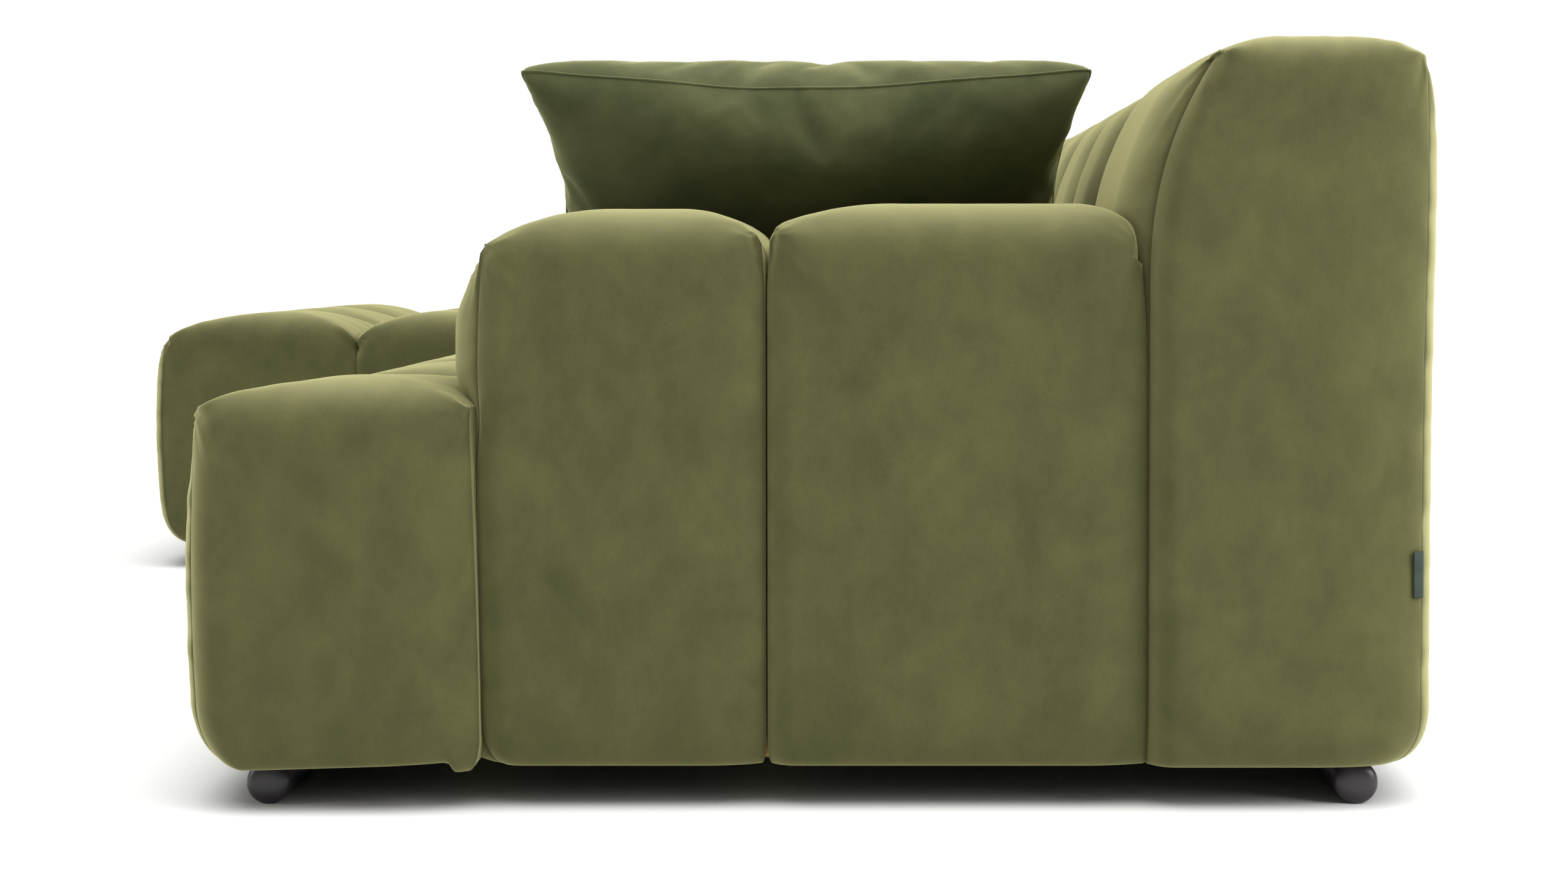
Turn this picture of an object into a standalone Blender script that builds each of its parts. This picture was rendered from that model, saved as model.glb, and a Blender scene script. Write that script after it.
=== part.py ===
"""Corner lounge sofa in channel-sewn velvet: a sofa with one arm, a chaise hooked to it, and a loose cushion.

Metres. +X is the arm end, -Y is the front, +Z is up. The origin is on the floor under the middle of the box.
"""
import bpy
import numpy as np

for old in list(bpy.data.objects):
    bpy.data.objects.remove(old, do_unlink=True)

# Plan sizes
ARM_WIDTH = 0.400
COLUMN = 0.300
SEAT_COLUMNS = 5
CHAISE_COLUMNS = 3
FRONT_ROW = 0.300
ARM_FRONT_ROW = 0.267
ARM_REAR_ROW = 0.352
BACK_DEPTH = 0.297
CHAISE_REACH = 0.534
CHAISE_FRONT_ROW = 0.359

# Heights above the floor
SEAT_TOP = 0.392
CHAISE_TOP = 0.420
END_TOP = 0.400
ARM_TOP = 0.562
BACK_TOP = 0.720
LEAN_START = 0.480
BACK_LEAN = 0.064

# Padding thickness at the crown of each side
FRONT_PAD = 0.080
SIDE_PAD = 0.050
JOIN_PAD = 0.044
SEAT_PAD = 0.070
END_PAD = 0.055
ARM_PAD = 0.050
ARM_TOP_PAD = 0.066
BACK_PAD = 0.055
BACK_TOP_PAD = 0.060
REAR_PAD = 0.074

# How far seams and edges are drawn in from the crown
SEAT_CROWN = 0.044
END_CROWN = 0.028
ARM_CROWN = 0.042
BACK_CROWN = 0.030
CHANNEL = 0.012
SWELL = 0.034
ARM_SWELL = 0.020
EDGE_ROLL = 0.022

# Frame stock
RAIL = 0.040
RAIL_HEIGHT = 0.150
POST = 0.050
BOARD = 0.018
HARDBOARD = 0.004
LINING = 0.0012
WEB = 0.003
WEB_STRAP = 0.050
WEB_LAP = 0.030
WEB_PITCH = 0.170
FRAME_INSET = 0.004

# Foot bars and their bolts
FOOT_RADIUS = 0.021
FOOT_FLAT = 0.001
FOOT_LENGTH = 0.240
FOOT_INSET = 0.030
FOOT_SIDES = 16
BOLT_RADIUS = 0.004
BOLT_HEAD_RADIUS = 0.006
BOLT_HEAD = 0.008
BOLT_HEAD_LIFT = 0.004
BOLT_BITE = 0.045
BOLT_SIDES = 10

# Hooks that join the chaise to the sofa
HOOK_PLATE = 0.003
HOOK_WIDTH = 0.060
HOOK_POCKET = 0.015
HOOK_TONGUE = 0.004
HOOK_BASE_HEIGHT = 0.095
HOOK_PLATE_HEIGHT = 0.060
HOOK_WALL_HEIGHT = 0.036

# Loose cushion
CUSHION_WIDTH = 0.600
CUSHION_HEIGHT = 0.425
CUSHION_THICK = 0.150
CUSHION_WAIST = 0.11
CUSHION_DIP = 0.08
CUSHION_LEAN = np.radians(38.0)
CUSHION_BEHIND_ARM = 0.099
CUSHION_BACK = 0.030
CASE_WALL = 0.00525
CUSHION_ZIP = 0.320
CUSHION_SLIT = 0.003

# Clearances
FIT = 0.0003
SOFT_GAP = 0.001
CORE_GAP = 0.003
HOLE_PLAY = 0.0005

# Planes the pieces share
WIDTH = ARM_WIDTH + (SEAT_COLUMNS + CHAISE_COLUMNS) * COLUMN
DEPTH = CHAISE_REACH + FRONT_ROW + ARM_FRONT_ROW + ARM_REAR_ROW + BACK_DEPTH
X_RIGHT = WIDTH / 2
X_ARM = X_RIGHT - ARM_WIDTH
X_JOIN = X_ARM - SEAT_COLUMNS * COLUMN
X_LEFT = -X_RIGHT
Y_REAR = DEPTH / 2
Y_BACK = Y_REAR - BACK_DEPTH
Y_SPLIT = Y_BACK - ARM_REAR_ROW
Y_ARM = Y_SPLIT - ARM_FRONT_ROW
Y_SEAT = Y_ARM - FRONT_ROW
Y_CHAISE = -Y_REAR
FOOT_HEIGHT = 2 * (FOOT_RADIUS - FOOT_FLAT)
HEM = FOOT_HEIGHT
Z_LINING = FOOT_HEIGHT + FIT
Z_RAIL = Z_LINING + LINING + FIT
Z_RAIL_TOP = Z_RAIL + RAIL_HEIGHT
Z_WEB = Z_RAIL_TOP + FIT
Z_DECK = Z_WEB + WEB
Z_SEAT_CORE = min(SEAT_TOP - SEAT_PAD, END_TOP - END_PAD) - FIT
Z_CHAISE_CORE = CHAISE_TOP - SEAT_PAD - FIT
Z_BACK_CORE = BACK_TOP - BACK_TOP_PAD - FIT
Z_ARM_FRAME = ARM_TOP - ARM_TOP_PAD - FIT
X_SOFA_FRAME = X_JOIN + FRAME_INSET
X_END_FRAME = X_RIGHT - SIDE_PAD
X_ARM_FRAME = X_ARM + ARM_PAD
X_CHAISE_OUT = X_LEFT + SIDE_PAD
X_CHAISE_IN = X_JOIN - JOIN_PAD
X_CHAISE_CORE = X_JOIN - CORE_GAP
Y_SOFA_FRAME = Y_SEAT + FRONT_PAD
Y_CHAISE_FRAME = Y_CHAISE + FRONT_PAD
Y_ARM_FRAME = Y_ARM + ARM_PAD
Y_PANEL = Y_REAR - REAR_PAD - FIT - HARDBOARD
Y_POST_REAR = Y_PANEL - FIT
Y_POST = Y_POST_REAR - RAIL
Y_REAR_RAIL = Y_POST - WEB_LAP
Y_EXPOSED = Y_SEAT + FRONT_PAD
FAR = 5.0

VELVET = (0.115, 0.118, 0.047)
DARK_VELVET = (0.050, 0.060, 0.025)
FOAM = (0.80, 0.76, 0.62)
TIMBER = (0.55, 0.38, 0.20)
BOARD_BROWN = (0.30, 0.19, 0.10)
STRAP = (0.09, 0.09, 0.10)
CLOTH = (0.03, 0.03, 0.03)
BAR = (0.028, 0.023, 0.028)
STEEL = (0.55, 0.55, 0.56)


# Shared makers
def add(name, points, faces, colour):
    """One named object with its own material."""
    mesh = bpy.data.meshes.new(name)
    mesh.from_pydata([tuple(p) for p in points], [], [tuple(int(i) for i in f) for f in faces])
    mesh.validate()
    made = bpy.data.objects.new(name, mesh)
    bpy.context.scene.collection.objects.link(made)
    skin_material = bpy.data.materials.new(name + "_material")
    skin_material.use_nodes = True
    shader = skin_material.node_tree.nodes["Principled BSDF"]
    shader.inputs["Base Color"].default_value = (*colour, 1.0)
    shader.inputs["Roughness"].default_value = 0.7
    mesh.materials.append(skin_material)
    return made


def skin(counts):
    """Lattice places on the outside of a block of counts points, and the outward quads between them."""
    places = np.indices(counts)
    outside = np.zeros(counts, dtype=bool)
    for axis in range(3):
        outside |= (places[axis] == 0) | (places[axis] == counts[axis] - 1)
    index = np.full(counts, -1)
    index[outside] = np.arange(outside.sum())
    quads = []
    for axis in range(3):
        for side in (0, counts[axis] - 1):
            face = np.take(index, side, axis=axis)
            ring = (face[:-1, :-1], face[1:, :-1], face[1:, 1:], face[:-1, 1:])
            quad = np.stack(ring, axis=-1).reshape(-1, 4)
            quads.append(quad[:, ::-1] if (side == 0) != (axis == 1) else quad)
    return np.argwhere(outside), np.concatenate(quads)


def box(name, low, high, colour):
    """A plain block between two corners."""
    places, quads = skin((2, 2, 2))
    low, high = np.array(low), np.array(high)
    return add(name, low + places * (high - low), quads, colour)


def prism(name, axis, profile, start, end, colour):
    """A closed outline carried along one axis; the outline uses the other two axes in cyclic order."""
    profile = np.array(profile)
    area = np.sum(profile[:, 0] * np.roll(profile[:, 1], -1) - profile[:, 1] * np.roll(profile[:, 0], -1))
    if area < 0:
        profile = profile[::-1]
    count = len(profile)
    points = np.zeros((2 * count, 3))
    for ring, level in enumerate((start, end)):
        points[ring * count:(ring + 1) * count, axis] = level
        points[ring * count:(ring + 1) * count, (axis + 1) % 3] = profile[:, 0]
        points[ring * count:(ring + 1) * count, (axis + 2) % 3] = profile[:, 1]
    around = np.arange(count)
    after = np.roll(around, -1)
    faces = [around[::-1], around + count]
    faces += list(np.stack([around, after, after + count, around + count], axis=-1))
    return add(name, points, faces, colour)


def rod(name, centre, radius, sides, low, high, colour):
    """An upright bar with the given number of sides."""
    turn = np.arange(sides) * 2 * np.pi / sides
    ring = np.stack([centre[0] + radius * np.cos(turn), centre[1] + radius * np.sin(turn)], axis=-1)
    return prism(name, 2, ring, low, high, colour)


def cut(target, cutter):
    """Take the cutter away from the target and hide the cutter."""
    cutter.hide_render = True
    cutter.display_type = 'WIRE'
    taken = target.modifiers.new(cutter.name, 'BOOLEAN')
    taken.operation = 'DIFFERENCE'
    taken.solver = 'EXACT'
    taken.object = cutter


def join(target, other):
    """Fuse the other solid into the target and hide it."""
    other.hide_render = True
    other.display_type = 'WIRE'
    fused = target.modifiers.new(other.name, 'BOOLEAN')
    fused.operation = 'UNION'
    fused.solver = 'EXACT'
    fused.object = other


def cells(edges, steps):
    """Coordinates over the cells between the edges, and each one's place from -1 to 1 in its own cell."""
    edges = np.array(edges)
    middle = (edges[1:] + edges[:-1]) / 2
    half = (edges[1:] - edges[:-1]) / 2
    level = [np.array([edges[0]])]
    place = [np.array([-1.0])]
    for centre, reach in zip(middle, half):
        level.append(centre + reach * steps[1:])
        place.append(steps[1:])
    return np.concatenate(level), np.concatenate(place)


ACROSS = np.array([-1.0, -0.62, 0.0, 0.62, 1.0])
UPWARD = np.array([-1.0, -0.85, 0.0, 0.55, 0.85, 1.0])


def fades(levels, edges):
    """Shares that fall from 1 at the first and at the last level to 0 across one cell."""
    first = np.clip(1 - (levels - edges[0]) / (edges[1] - edges[0]), 0, 1)
    last = np.clip(1 - (edges[-1] - levels) / (edges[-1] - edges[-2]), 0, 1)
    return first, last


def soft_block(name, x_edges, y_edges, z_edges, crown, swell, lean=0.0, flat=()):
    """A padded block whose faces stay at the crown in the middle of each cell and draw in at every seam.

    The top drops by the crown times the 2.5th power of the place in the cell, the sides go in by the channel
    depth times its cube, the front and rear by the swell times its cube, and the rims roll in with the 6th
    power of the height. What goes in at a face fades out over the first cell behind it. Faces named in flat
    butt against the next cover and stay plain. Lean moves the front rearward.
    """
    xs, u = cells(x_edges, ACROSS)
    ys, v = cells(y_edges, ACROSS)
    zs, w = cells(z_edges, UPWARD)
    places, quads = skin((len(xs), len(ys), len(zs)))
    i, j, k = places.T
    across, along, up = np.abs(u[i]), np.abs(v[j]), np.abs(w[k])
    x_in = CHANNEL * along ** 3 + EDGE_ROLL * up ** 6
    y_in = swell * across ** 3 + EDGE_ROLL * up ** 6
    drop = crown * (1 - (1 - across ** 2.5) * (1 - along ** 2.5))
    left, right = fades(xs, x_edges)
    front, rear = fades(ys, y_edges)
    x = xs[i] + x_in * (left[i] * ("left" not in flat) - right[i] * ("right" not in flat))
    y = ys[j] + y_in * (front[j] * ("front" not in flat) - rear[j] * ("rear" not in flat))
    z = zs[k] - drop * (k == len(zs) - 1)
    rise = np.clip((z - LEAN_START) / (z_edges[-1] - LEAN_START), 0, 1)
    y = y + lean * rise * (ys[-1] - y) / (ys[-1] - ys[0])
    return add(name, np.stack([x, y, z], axis=-1), quads, VELVET)


def ladder(name, axis, u_bands, v_bands, start, end, colour):
    """A flat lattice of crossing bands with open windows, thick along one axis, made as one solid."""
    us, vs = np.array(u_bands).ravel(), np.array(v_bands).ravel()
    count = (len(us), len(vs))
    i, j = np.meshgrid(np.arange(count[0] - 1), np.arange(count[1] - 1), indexing='ij')
    solid = (i % 2 == 0) | (j % 2 == 0)
    number = np.arange(count[0] * count[1]).reshape(count)
    quad = np.stack([number[:-1, :-1], number[1:, :-1], number[1:, 1:], number[:-1, 1:]], axis=-1)
    upper = quad[solid] + number.size
    lower = quad[solid][:, ::-1]
    walls = []
    ring = np.pad(solid, 1)
    for step, (first, second) in (((-1, 0), (0, 3)), ((1, 0), (2, 1)), ((0, -1), (1, 0)), ((0, 1), (3, 2))):
        beyond = ring[1 + step[0]:ring.shape[0] - 1 + step[0], 1 + step[1]:ring.shape[1] - 1 + step[1]]
        rim = quad[solid & ~beyond]
        a, b = rim[:, second], rim[:, first]
        walls.append(np.stack([b, a, a + number.size, b + number.size], axis=-1)[:, ::-1])
    flat = np.stack(np.meshgrid(us, vs, indexing='ij'), axis=-1).reshape(-1, 2)
    points = np.zeros((2 * number.size, 3))
    for half, level in enumerate((start, end)):
        part = slice(half * number.size, (half + 1) * number.size)
        points[part, axis] = level
        points[part, (axis + 1) % 3] = flat[:, 0]
        points[part, (axis + 2) % 3] = flat[:, 1]
    return add(name, points, np.concatenate([upper, lower] + walls), colour)


def straps(low, high, pitch):
    """Bands of strap width spread evenly from edge to edge, about one pitch apart."""
    count = max(2, int(round((high - low) / pitch)) + 1)
    starts = np.linspace(low, high - WEB_STRAP, count)
    return [(s, s + WEB_STRAP) for s in starts]


def foot(number, x_start, y):
    """A planed round bar along X with softly domed ends, and the bolt that holds it up to the rail."""
    turn = (np.arange(FOOT_SIDES) + 0.5) * 2 * np.pi / FOOT_SIDES
    inset = np.array([0.0, 0.0025, 0.009])
    share = np.array([0.62, 0.88, 1.0])
    stations = np.concatenate([inset, FOOT_LENGTH - inset[::-1]])
    radii = FOOT_RADIUS * np.concatenate([share, share[::-1]])
    half = FOOT_RADIUS - FOOT_FLAT
    height = np.clip(radii[:, None] * np.sin(turn), -half, half)
    x = np.broadcast_to((x_start + stations)[:, None], height.shape)
    points = np.stack([x, y + radii[:, None] * np.cos(turn), half + height], axis=-1).reshape(-1, 3)
    number_of = np.arange(len(stations) * FOOT_SIDES).reshape(len(stations), FOOT_SIDES)
    after = np.roll(number_of, -1, axis=1)
    quad = np.stack([number_of[:-1], after[:-1], after[1:], number_of[1:]], axis=-1).reshape(-1, 4)
    faces = [number_of[0][::-1], number_of[-1]] + list(quad)
    bar = add(f"foot_bar_{number}", points, faces, BAR)
    centre = (x_start + FOOT_LENGTH / 2, y)
    z_seat = BOLT_HEAD_LIFT + BOLT_HEAD
    wide = BOLT_HEAD_RADIUS + HOLE_PLAY
    cut(bar, rod(f"foot_counterbore_{number}", centre, wide, BOLT_SIDES, -0.01, z_seat + FIT, BAR))
    cut(bar, bolt_bore(f"foot_hole_{number}", centre, -0.01, FOOT_HEIGHT + 0.01))
    bolt = rod(f"foot_bolt_{number}", centre, BOLT_RADIUS, BOLT_SIDES, BOLT_HEAD_LIFT + BOLT_HEAD / 2,
               Z_RAIL + BOLT_BITE, STEEL)
    head = rod(f"bolt_head_{number}", centre, BOLT_HEAD_RADIUS, BOLT_SIDES, BOLT_HEAD_LIFT, z_seat, STEEL)
    join(bolt, head)
    return centre


def bolt_bore(name, centre, low, high):
    """The clearance hole for one foot bolt."""
    return rod(name, centre, BOLT_RADIUS + HOLE_PLAY, BOLT_SIDES, low, high, STEEL)


def bolt_holes(rail, lining, centre, tag):
    """Holes for one foot bolt in the rail above the foot and in the lining between."""
    cut(rail, bolt_bore(f"rail_hole_{tag}", centre, Z_RAIL - 0.02, Z_RAIL + BOLT_BITE + 0.002))
    cut(lining, bolt_bore(f"lining_hole_{tag}", centre, Z_LINING - 0.02, Z_LINING + 0.02))


# Sofa base frame
z_rails = (Z_RAIL, Z_RAIL_TOP)
y_between = (Y_SOFA_FRAME + RAIL + FIT, Y_REAR_RAIL - FIT)
front_rail = box("front_rail", (X_SOFA_FRAME, Y_SOFA_FRAME, z_rails[0]),
                 (X_END_FRAME, Y_SOFA_FRAME + RAIL, z_rails[1]), TIMBER)
rear_rail = box("rear_rail", (X_SOFA_FRAME, Y_REAR_RAIL, z_rails[0]),
                (X_END_FRAME, Y_POST_REAR, z_rails[1]), TIMBER)
box("arm_end_rail", (X_END_FRAME - RAIL, y_between[0], z_rails[0]),
    (X_END_FRAME, y_between[1], z_rails[1]), TIMBER)
box("join_end_rail", (X_SOFA_FRAME, y_between[0], z_rails[0]),
    (X_SOFA_FRAME + RAIL, y_between[1], z_rails[1]), TIMBER)
box("arm_inner_rail", (X_ARM_FRAME - WEB_LAP, y_between[0], z_rails[0]),
    (X_ARM_FRAME + BOARD, y_between[1], z_rails[1]), TIMBER)
x_centre = (X_SOFA_FRAME + X_ARM_FRAME) / 2
box("centre_rail", (x_centre - RAIL / 2, y_between[0], z_rails[0]),
    (x_centre + RAIL / 2, y_between[1], z_rails[1]), TIMBER)
base_lining = box("base_lining", (X_SOFA_FRAME, Y_SOFA_FRAME, Z_LINING),
                  (X_END_FRAME, Y_POST_REAR, Z_LINING + LINING), CLOTH)
ladder("seat_webbing", 2, straps(X_SOFA_FRAME + CORE_GAP, X_ARM_FRAME - FIT, WEB_PITCH),
       straps(Y_SOFA_FRAME + CORE_GAP, Y_POST - FIT, WEB_PITCH), Z_WEB, Z_DECK, STRAP)

# Sofa seat
seat_plan = [(X_SOFA_FRAME, Y_SOFA_FRAME), (X_END_FRAME, Y_SOFA_FRAME), (X_END_FRAME, Y_ARM - CORE_GAP),
             (X_ARM - CORE_GAP, Y_ARM - CORE_GAP), (X_ARM - CORE_GAP, Y_BACK - CORE_GAP),
             (X_SOFA_FRAME, Y_BACK - CORE_GAP)]
prism("seat_core", 2, seat_plan, Z_DECK + FIT, Z_SEAT_CORE, FOAM)
seat_columns = np.linspace(X_JOIN + SOFT_GAP, X_ARM - SOFT_GAP, SEAT_COLUMNS + 1)
seat_cover = soft_block("seat_cover", seat_columns, (Y_SEAT, Y_ARM, Y_SPLIT, Y_BACK - SOFT_GAP),
                        (HEM, SEAT_TOP), SEAT_CROWN, SWELL, flat=("left", "right", "rear"))
cut(seat_cover, box("seat_hollow", (-FAR, Y_SOFA_FRAME - FIT, -FAR), (FAR, FAR, Z_SEAT_CORE + FIT), VELVET))
seat_end_cover = soft_block("seat_end_cover", (X_ARM + SOFT_GAP, X_RIGHT), (Y_SEAT, Y_ARM - SOFT_GAP),
                            (HEM, END_TOP), END_CROWN, SWELL, flat=("left", "rear"))
cut(seat_end_cover, box("seat_end_hollow", (-FAR, Y_SOFA_FRAME - FIT, -FAR),
                        (X_END_FRAME + FIT, FAR, Z_SEAT_CORE + FIT), VELVET))

# Arm
z_arm_board = Z_ARM_FRAME - BOARD - FIT
y_arm_end = Y_BACK - SOFT_GAP
box("arm_outer_board", (X_END_FRAME - BOARD, Y_ARM_FRAME, Z_WEB),
    (X_END_FRAME, y_arm_end, z_arm_board), BOARD_BROWN)
box("arm_inner_board", (X_ARM_FRAME, Y_ARM_FRAME, Z_WEB),
    (X_ARM_FRAME + BOARD, y_arm_end, z_arm_board), BOARD_BROWN)
box("arm_front_board", (X_ARM_FRAME + BOARD + FIT, Y_ARM_FRAME, Z_WEB),
    (X_END_FRAME - BOARD - FIT, Y_ARM_FRAME + BOARD, z_arm_board), BOARD_BROWN)
box("arm_top_board", (X_ARM_FRAME, Y_ARM_FRAME, z_arm_board + FIT),
    (X_END_FRAME, y_arm_end, Z_ARM_FRAME), BOARD_BROWN)
x_arm_edges = (X_ARM + SOFT_GAP, X_RIGHT)
arm_front = soft_block("arm_cover_front", x_arm_edges, (Y_ARM + SOFT_GAP, Y_SPLIT - SOFT_GAP),
                       (HEM, ARM_TOP), ARM_CROWN, ARM_SWELL, flat=("rear",))
arm_rear = soft_block("arm_cover_rear", x_arm_edges, (Y_SPLIT + SOFT_GAP, Y_BACK - SOFT_GAP),
                      (HEM, ARM_TOP), ARM_CROWN, ARM_SWELL, flat=("front", "rear"))
for cover, y_inside in ((arm_front, Y_ARM_FRAME - FIT), (arm_rear, -FAR)):
    cut(cover, box(cover.name + "_hollow", (X_ARM_FRAME - FIT, y_inside, -FAR),
                   (X_END_FRAME + FIT, FAR, Z_ARM_FRAME + FIT), VELVET))
    cut(cover, box(cover.name + "_sill", (-FAR, -FAR, -FAR),
                   (X_END_FRAME + FIT, FAR, Z_DECK + FIT), VELVET))

# Sofa back
z_top_rail = (Z_BACK_CORE - RAIL, Z_BACK_CORE)
z_foot_rail = (Z_WEB, Z_WEB + RAIL)
x_posts = [(X_SOFA_FRAME, X_SOFA_FRAME + POST), (x_centre - POST / 2, x_centre + POST / 2),
           (X_END_FRAME - POST, X_END_FRAME)]
ladder("back_frame", 1, [z_foot_rail, z_top_rail], x_posts, Y_POST, Y_POST_REAR, TIMBER)
box("back_panel", (X_SOFA_FRAME, Y_PANEL, Z_RAIL),
    (X_END_FRAME, Y_PANEL + HARDBOARD, Z_BACK_CORE), BOARD_BROWN)
y_core = Y_BACK + BACK_PAD
back_profile = [(y_core, Z_DECK + FIT), (Y_POST - FIT, Z_DECK + FIT), (Y_POST - FIT, Z_BACK_CORE),
                (y_core + BACK_LEAN, Z_BACK_CORE), (y_core, LEAN_START)]
y_hollow = Y_PANEL + HARDBOARD + FIT
hollow_profile = [(-FAR, -FAR), (-FAR, Z_DECK + FIT), (y_core - FIT, Z_DECK + FIT),
                  (y_core - FIT, LEAN_START), (y_core + BACK_LEAN - FIT, Z_BACK_CORE + FIT),
                  (y_hollow, Z_BACK_CORE + FIT), (y_hollow, -FAR)]
prism("back_core", 0, back_profile, X_SOFA_FRAME, X_END_FRAME, FOAM)
back_columns = np.append(seat_columns[:-1], (X_ARM, X_RIGHT))
y_back_edges = (Y_BACK + SOFT_GAP, Y_REAR)
back_cover = soft_block("back_cover", back_columns, y_back_edges, (HEM, BACK_TOP), BACK_CROWN, SWELL,
                        BACK_LEAN, flat=("left",))
cut(back_cover, prism("back_hollow", 0, hollow_profile, -FAR, X_END_FRAME + FIT, VELVET))

# Chaise base frame
y_chaise_between = (Y_CHAISE_FRAME + RAIL + FIT, Y_REAR_RAIL - FIT)
x_inside = (X_CHAISE_OUT + RAIL + FIT, X_CHAISE_IN - RAIL - FIT)
chaise_front_rail = box("chaise_front_rail", (X_CHAISE_OUT, Y_CHAISE_FRAME, z_rails[0]),
                        (X_CHAISE_IN, Y_CHAISE_FRAME + RAIL, z_rails[1]), TIMBER)
chaise_rear_rail = box("chaise_rear_rail", (X_CHAISE_OUT, Y_REAR_RAIL, z_rails[0]),
                       (X_CHAISE_IN, Y_POST_REAR, z_rails[1]), TIMBER)
box("chaise_outer_rail", (X_CHAISE_OUT, y_chaise_between[0], z_rails[0]),
    (X_CHAISE_OUT + RAIL, y_chaise_between[1], z_rails[1]), TIMBER)
box("chaise_inner_rail", (X_CHAISE_IN - RAIL, y_chaise_between[0], z_rails[0]),
    (X_CHAISE_IN, y_chaise_between[1], z_rails[1]), TIMBER)
y_cross = (Y_CHAISE_FRAME + Y_REAR_RAIL) / 2
box("chaise_cross_rail", (x_inside[0], y_cross - RAIL / 2, z_rails[0]),
    (x_inside[1], y_cross + RAIL / 2, z_rails[1]), TIMBER)
chaise_lining = box("chaise_lining", (X_CHAISE_OUT, Y_CHAISE_FRAME, Z_LINING),
                    (X_CHAISE_IN, Y_POST_REAR, Z_LINING + LINING), CLOTH)
ladder("chaise_webbing", 2, straps(X_CHAISE_OUT + CORE_GAP, X_CHAISE_IN - CORE_GAP, WEB_PITCH),
       straps(Y_CHAISE_FRAME + CORE_GAP, Y_POST - FIT, WEB_PITCH), Z_WEB, Z_DECK, STRAP)

# Chaise seat
chaise_plan = [(X_CHAISE_OUT, Y_CHAISE_FRAME), (X_CHAISE_IN, Y_CHAISE_FRAME),
               (X_CHAISE_IN, Y_EXPOSED + CORE_GAP),
               (X_CHAISE_CORE, Y_EXPOSED + CORE_GAP), (X_CHAISE_CORE, Y_BACK - CORE_GAP),
               (X_CHAISE_OUT, Y_BACK - CORE_GAP)]
prism("chaise_core", 2, chaise_plan, Z_DECK + FIT, Z_CHAISE_CORE, FOAM)
chaise_columns = np.linspace(X_LEFT, X_JOIN - SOFT_GAP, CHAISE_COLUMNS + 1)
chaise_rows = np.append(Y_CHAISE, np.linspace(Y_CHAISE + CHAISE_FRONT_ROW, Y_BACK - SOFT_GAP, 4))
chaise_cover = soft_block("chaise_cover", chaise_columns, chaise_rows, (HEM, CHAISE_TOP), SEAT_CROWN, SWELL,
                          flat=("rear",))
cut(chaise_cover, box("chaise_hollow", (X_CHAISE_OUT - FIT, Y_CHAISE_FRAME - FIT, -FAR),
                      (X_CHAISE_IN + FIT, FAR, Z_CHAISE_CORE + FIT), VELVET))
cut(chaise_cover, box("chaise_join_opening", (X_CHAISE_IN - FIT, Y_EXPOSED, -FAR),
                      (FAR, FAR, Z_CHAISE_CORE + FIT), VELVET))

# Chaise back
ladder("chaise_back_frame", 1, [z_foot_rail, z_top_rail],
       [(X_CHAISE_OUT, X_CHAISE_OUT + POST), (X_CHAISE_IN - POST, X_CHAISE_IN)], Y_POST, Y_POST_REAR, TIMBER)
box("chaise_back_panel", (X_CHAISE_OUT, Y_PANEL, Z_RAIL),
    (X_CHAISE_IN, Y_PANEL + HARDBOARD, Z_BACK_CORE), BOARD_BROWN)
prism("chaise_back_core", 0, back_profile, X_CHAISE_OUT, X_CHAISE_CORE, FOAM)
chaise_back = soft_block("chaise_back_cover", chaise_columns, y_back_edges, (HEM, BACK_TOP), BACK_CROWN,
                         SWELL, BACK_LEAN, flat=("right",))
cut(chaise_back, prism("chaise_back_hollow", 0, hollow_profile, X_CHAISE_OUT - FIT, FAR, VELVET))

# Foot bars and bolts
y_front_foot = Y_SOFA_FRAME + RAIL / 2
y_rear_foot = (Y_POST + Y_POST_REAR) / 2
y_chaise_foot = Y_CHAISE_FRAME + RAIL / 2
x_sofa_feet = (X_RIGHT - FOOT_INSET - FOOT_LENGTH, X_SOFA_FRAME + FOOT_INSET)
x_chaise_feet = (X_CHAISE_IN - FOOT_INSET - FOOT_LENGTH, X_LEFT + FOOT_INSET)
feet = [(x, y, rail, base_lining) for x in x_sofa_feet
        for y, rail in ((y_front_foot, front_rail), (y_rear_foot, rear_rail))]
feet += [(x, y, rail, chaise_lining) for x in x_chaise_feet
         for y, rail in ((y_chaise_foot, chaise_front_rail), (y_rear_foot, chaise_rear_rail))]
for number, (x, y, rail, lining) in enumerate(feet, 1):
    bolt_holes(rail, lining, foot(number, x, y), number)

# Hooks that drop into sockets where the chaise meets the sofa
x_socket = X_SOFA_FRAME - FIT
x_hook = X_CHAISE_IN + FIT
x_tongue = x_socket - HOOK_PLATE - HOOK_POCKET / 2
z_hook = HOOK_BASE_HEIGHT
socket_profile = [(z_hook, x_socket), (z_hook + HOOK_PLATE_HEIGHT, x_socket),
                  (z_hook + HOOK_PLATE_HEIGHT, x_socket - HOOK_PLATE),
                  (z_hook + HOOK_PLATE, x_socket - HOOK_PLATE),
                  (z_hook + HOOK_PLATE, x_socket - HOOK_PLATE - HOOK_POCKET),
                  (z_hook + HOOK_WALL_HEIGHT, x_socket - HOOK_PLATE - HOOK_POCKET),
                  (z_hook + HOOK_WALL_HEIGHT, x_socket - 2 * HOOK_PLATE - HOOK_POCKET),
                  (z_hook, x_socket - 2 * HOOK_PLATE - HOOK_POCKET)]
z_web = z_hook + HOOK_WALL_HEIGHT + FIT
hook_profile = [(z_hook, x_hook), (z_hook, x_hook + HOOK_PLATE), (z_web, x_hook + HOOK_PLATE),
                (z_web, x_tongue - HOOK_TONGUE / 2), (z_hook + 3 * HOOK_PLATE, x_tongue - HOOK_TONGUE / 2),
                (z_hook + 3 * HOOK_PLATE, x_tongue + HOOK_TONGUE / 2),
                (z_web + HOOK_TONGUE, x_tongue + HOOK_TONGUE / 2), (z_web + HOOK_TONGUE, x_hook)]
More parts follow.
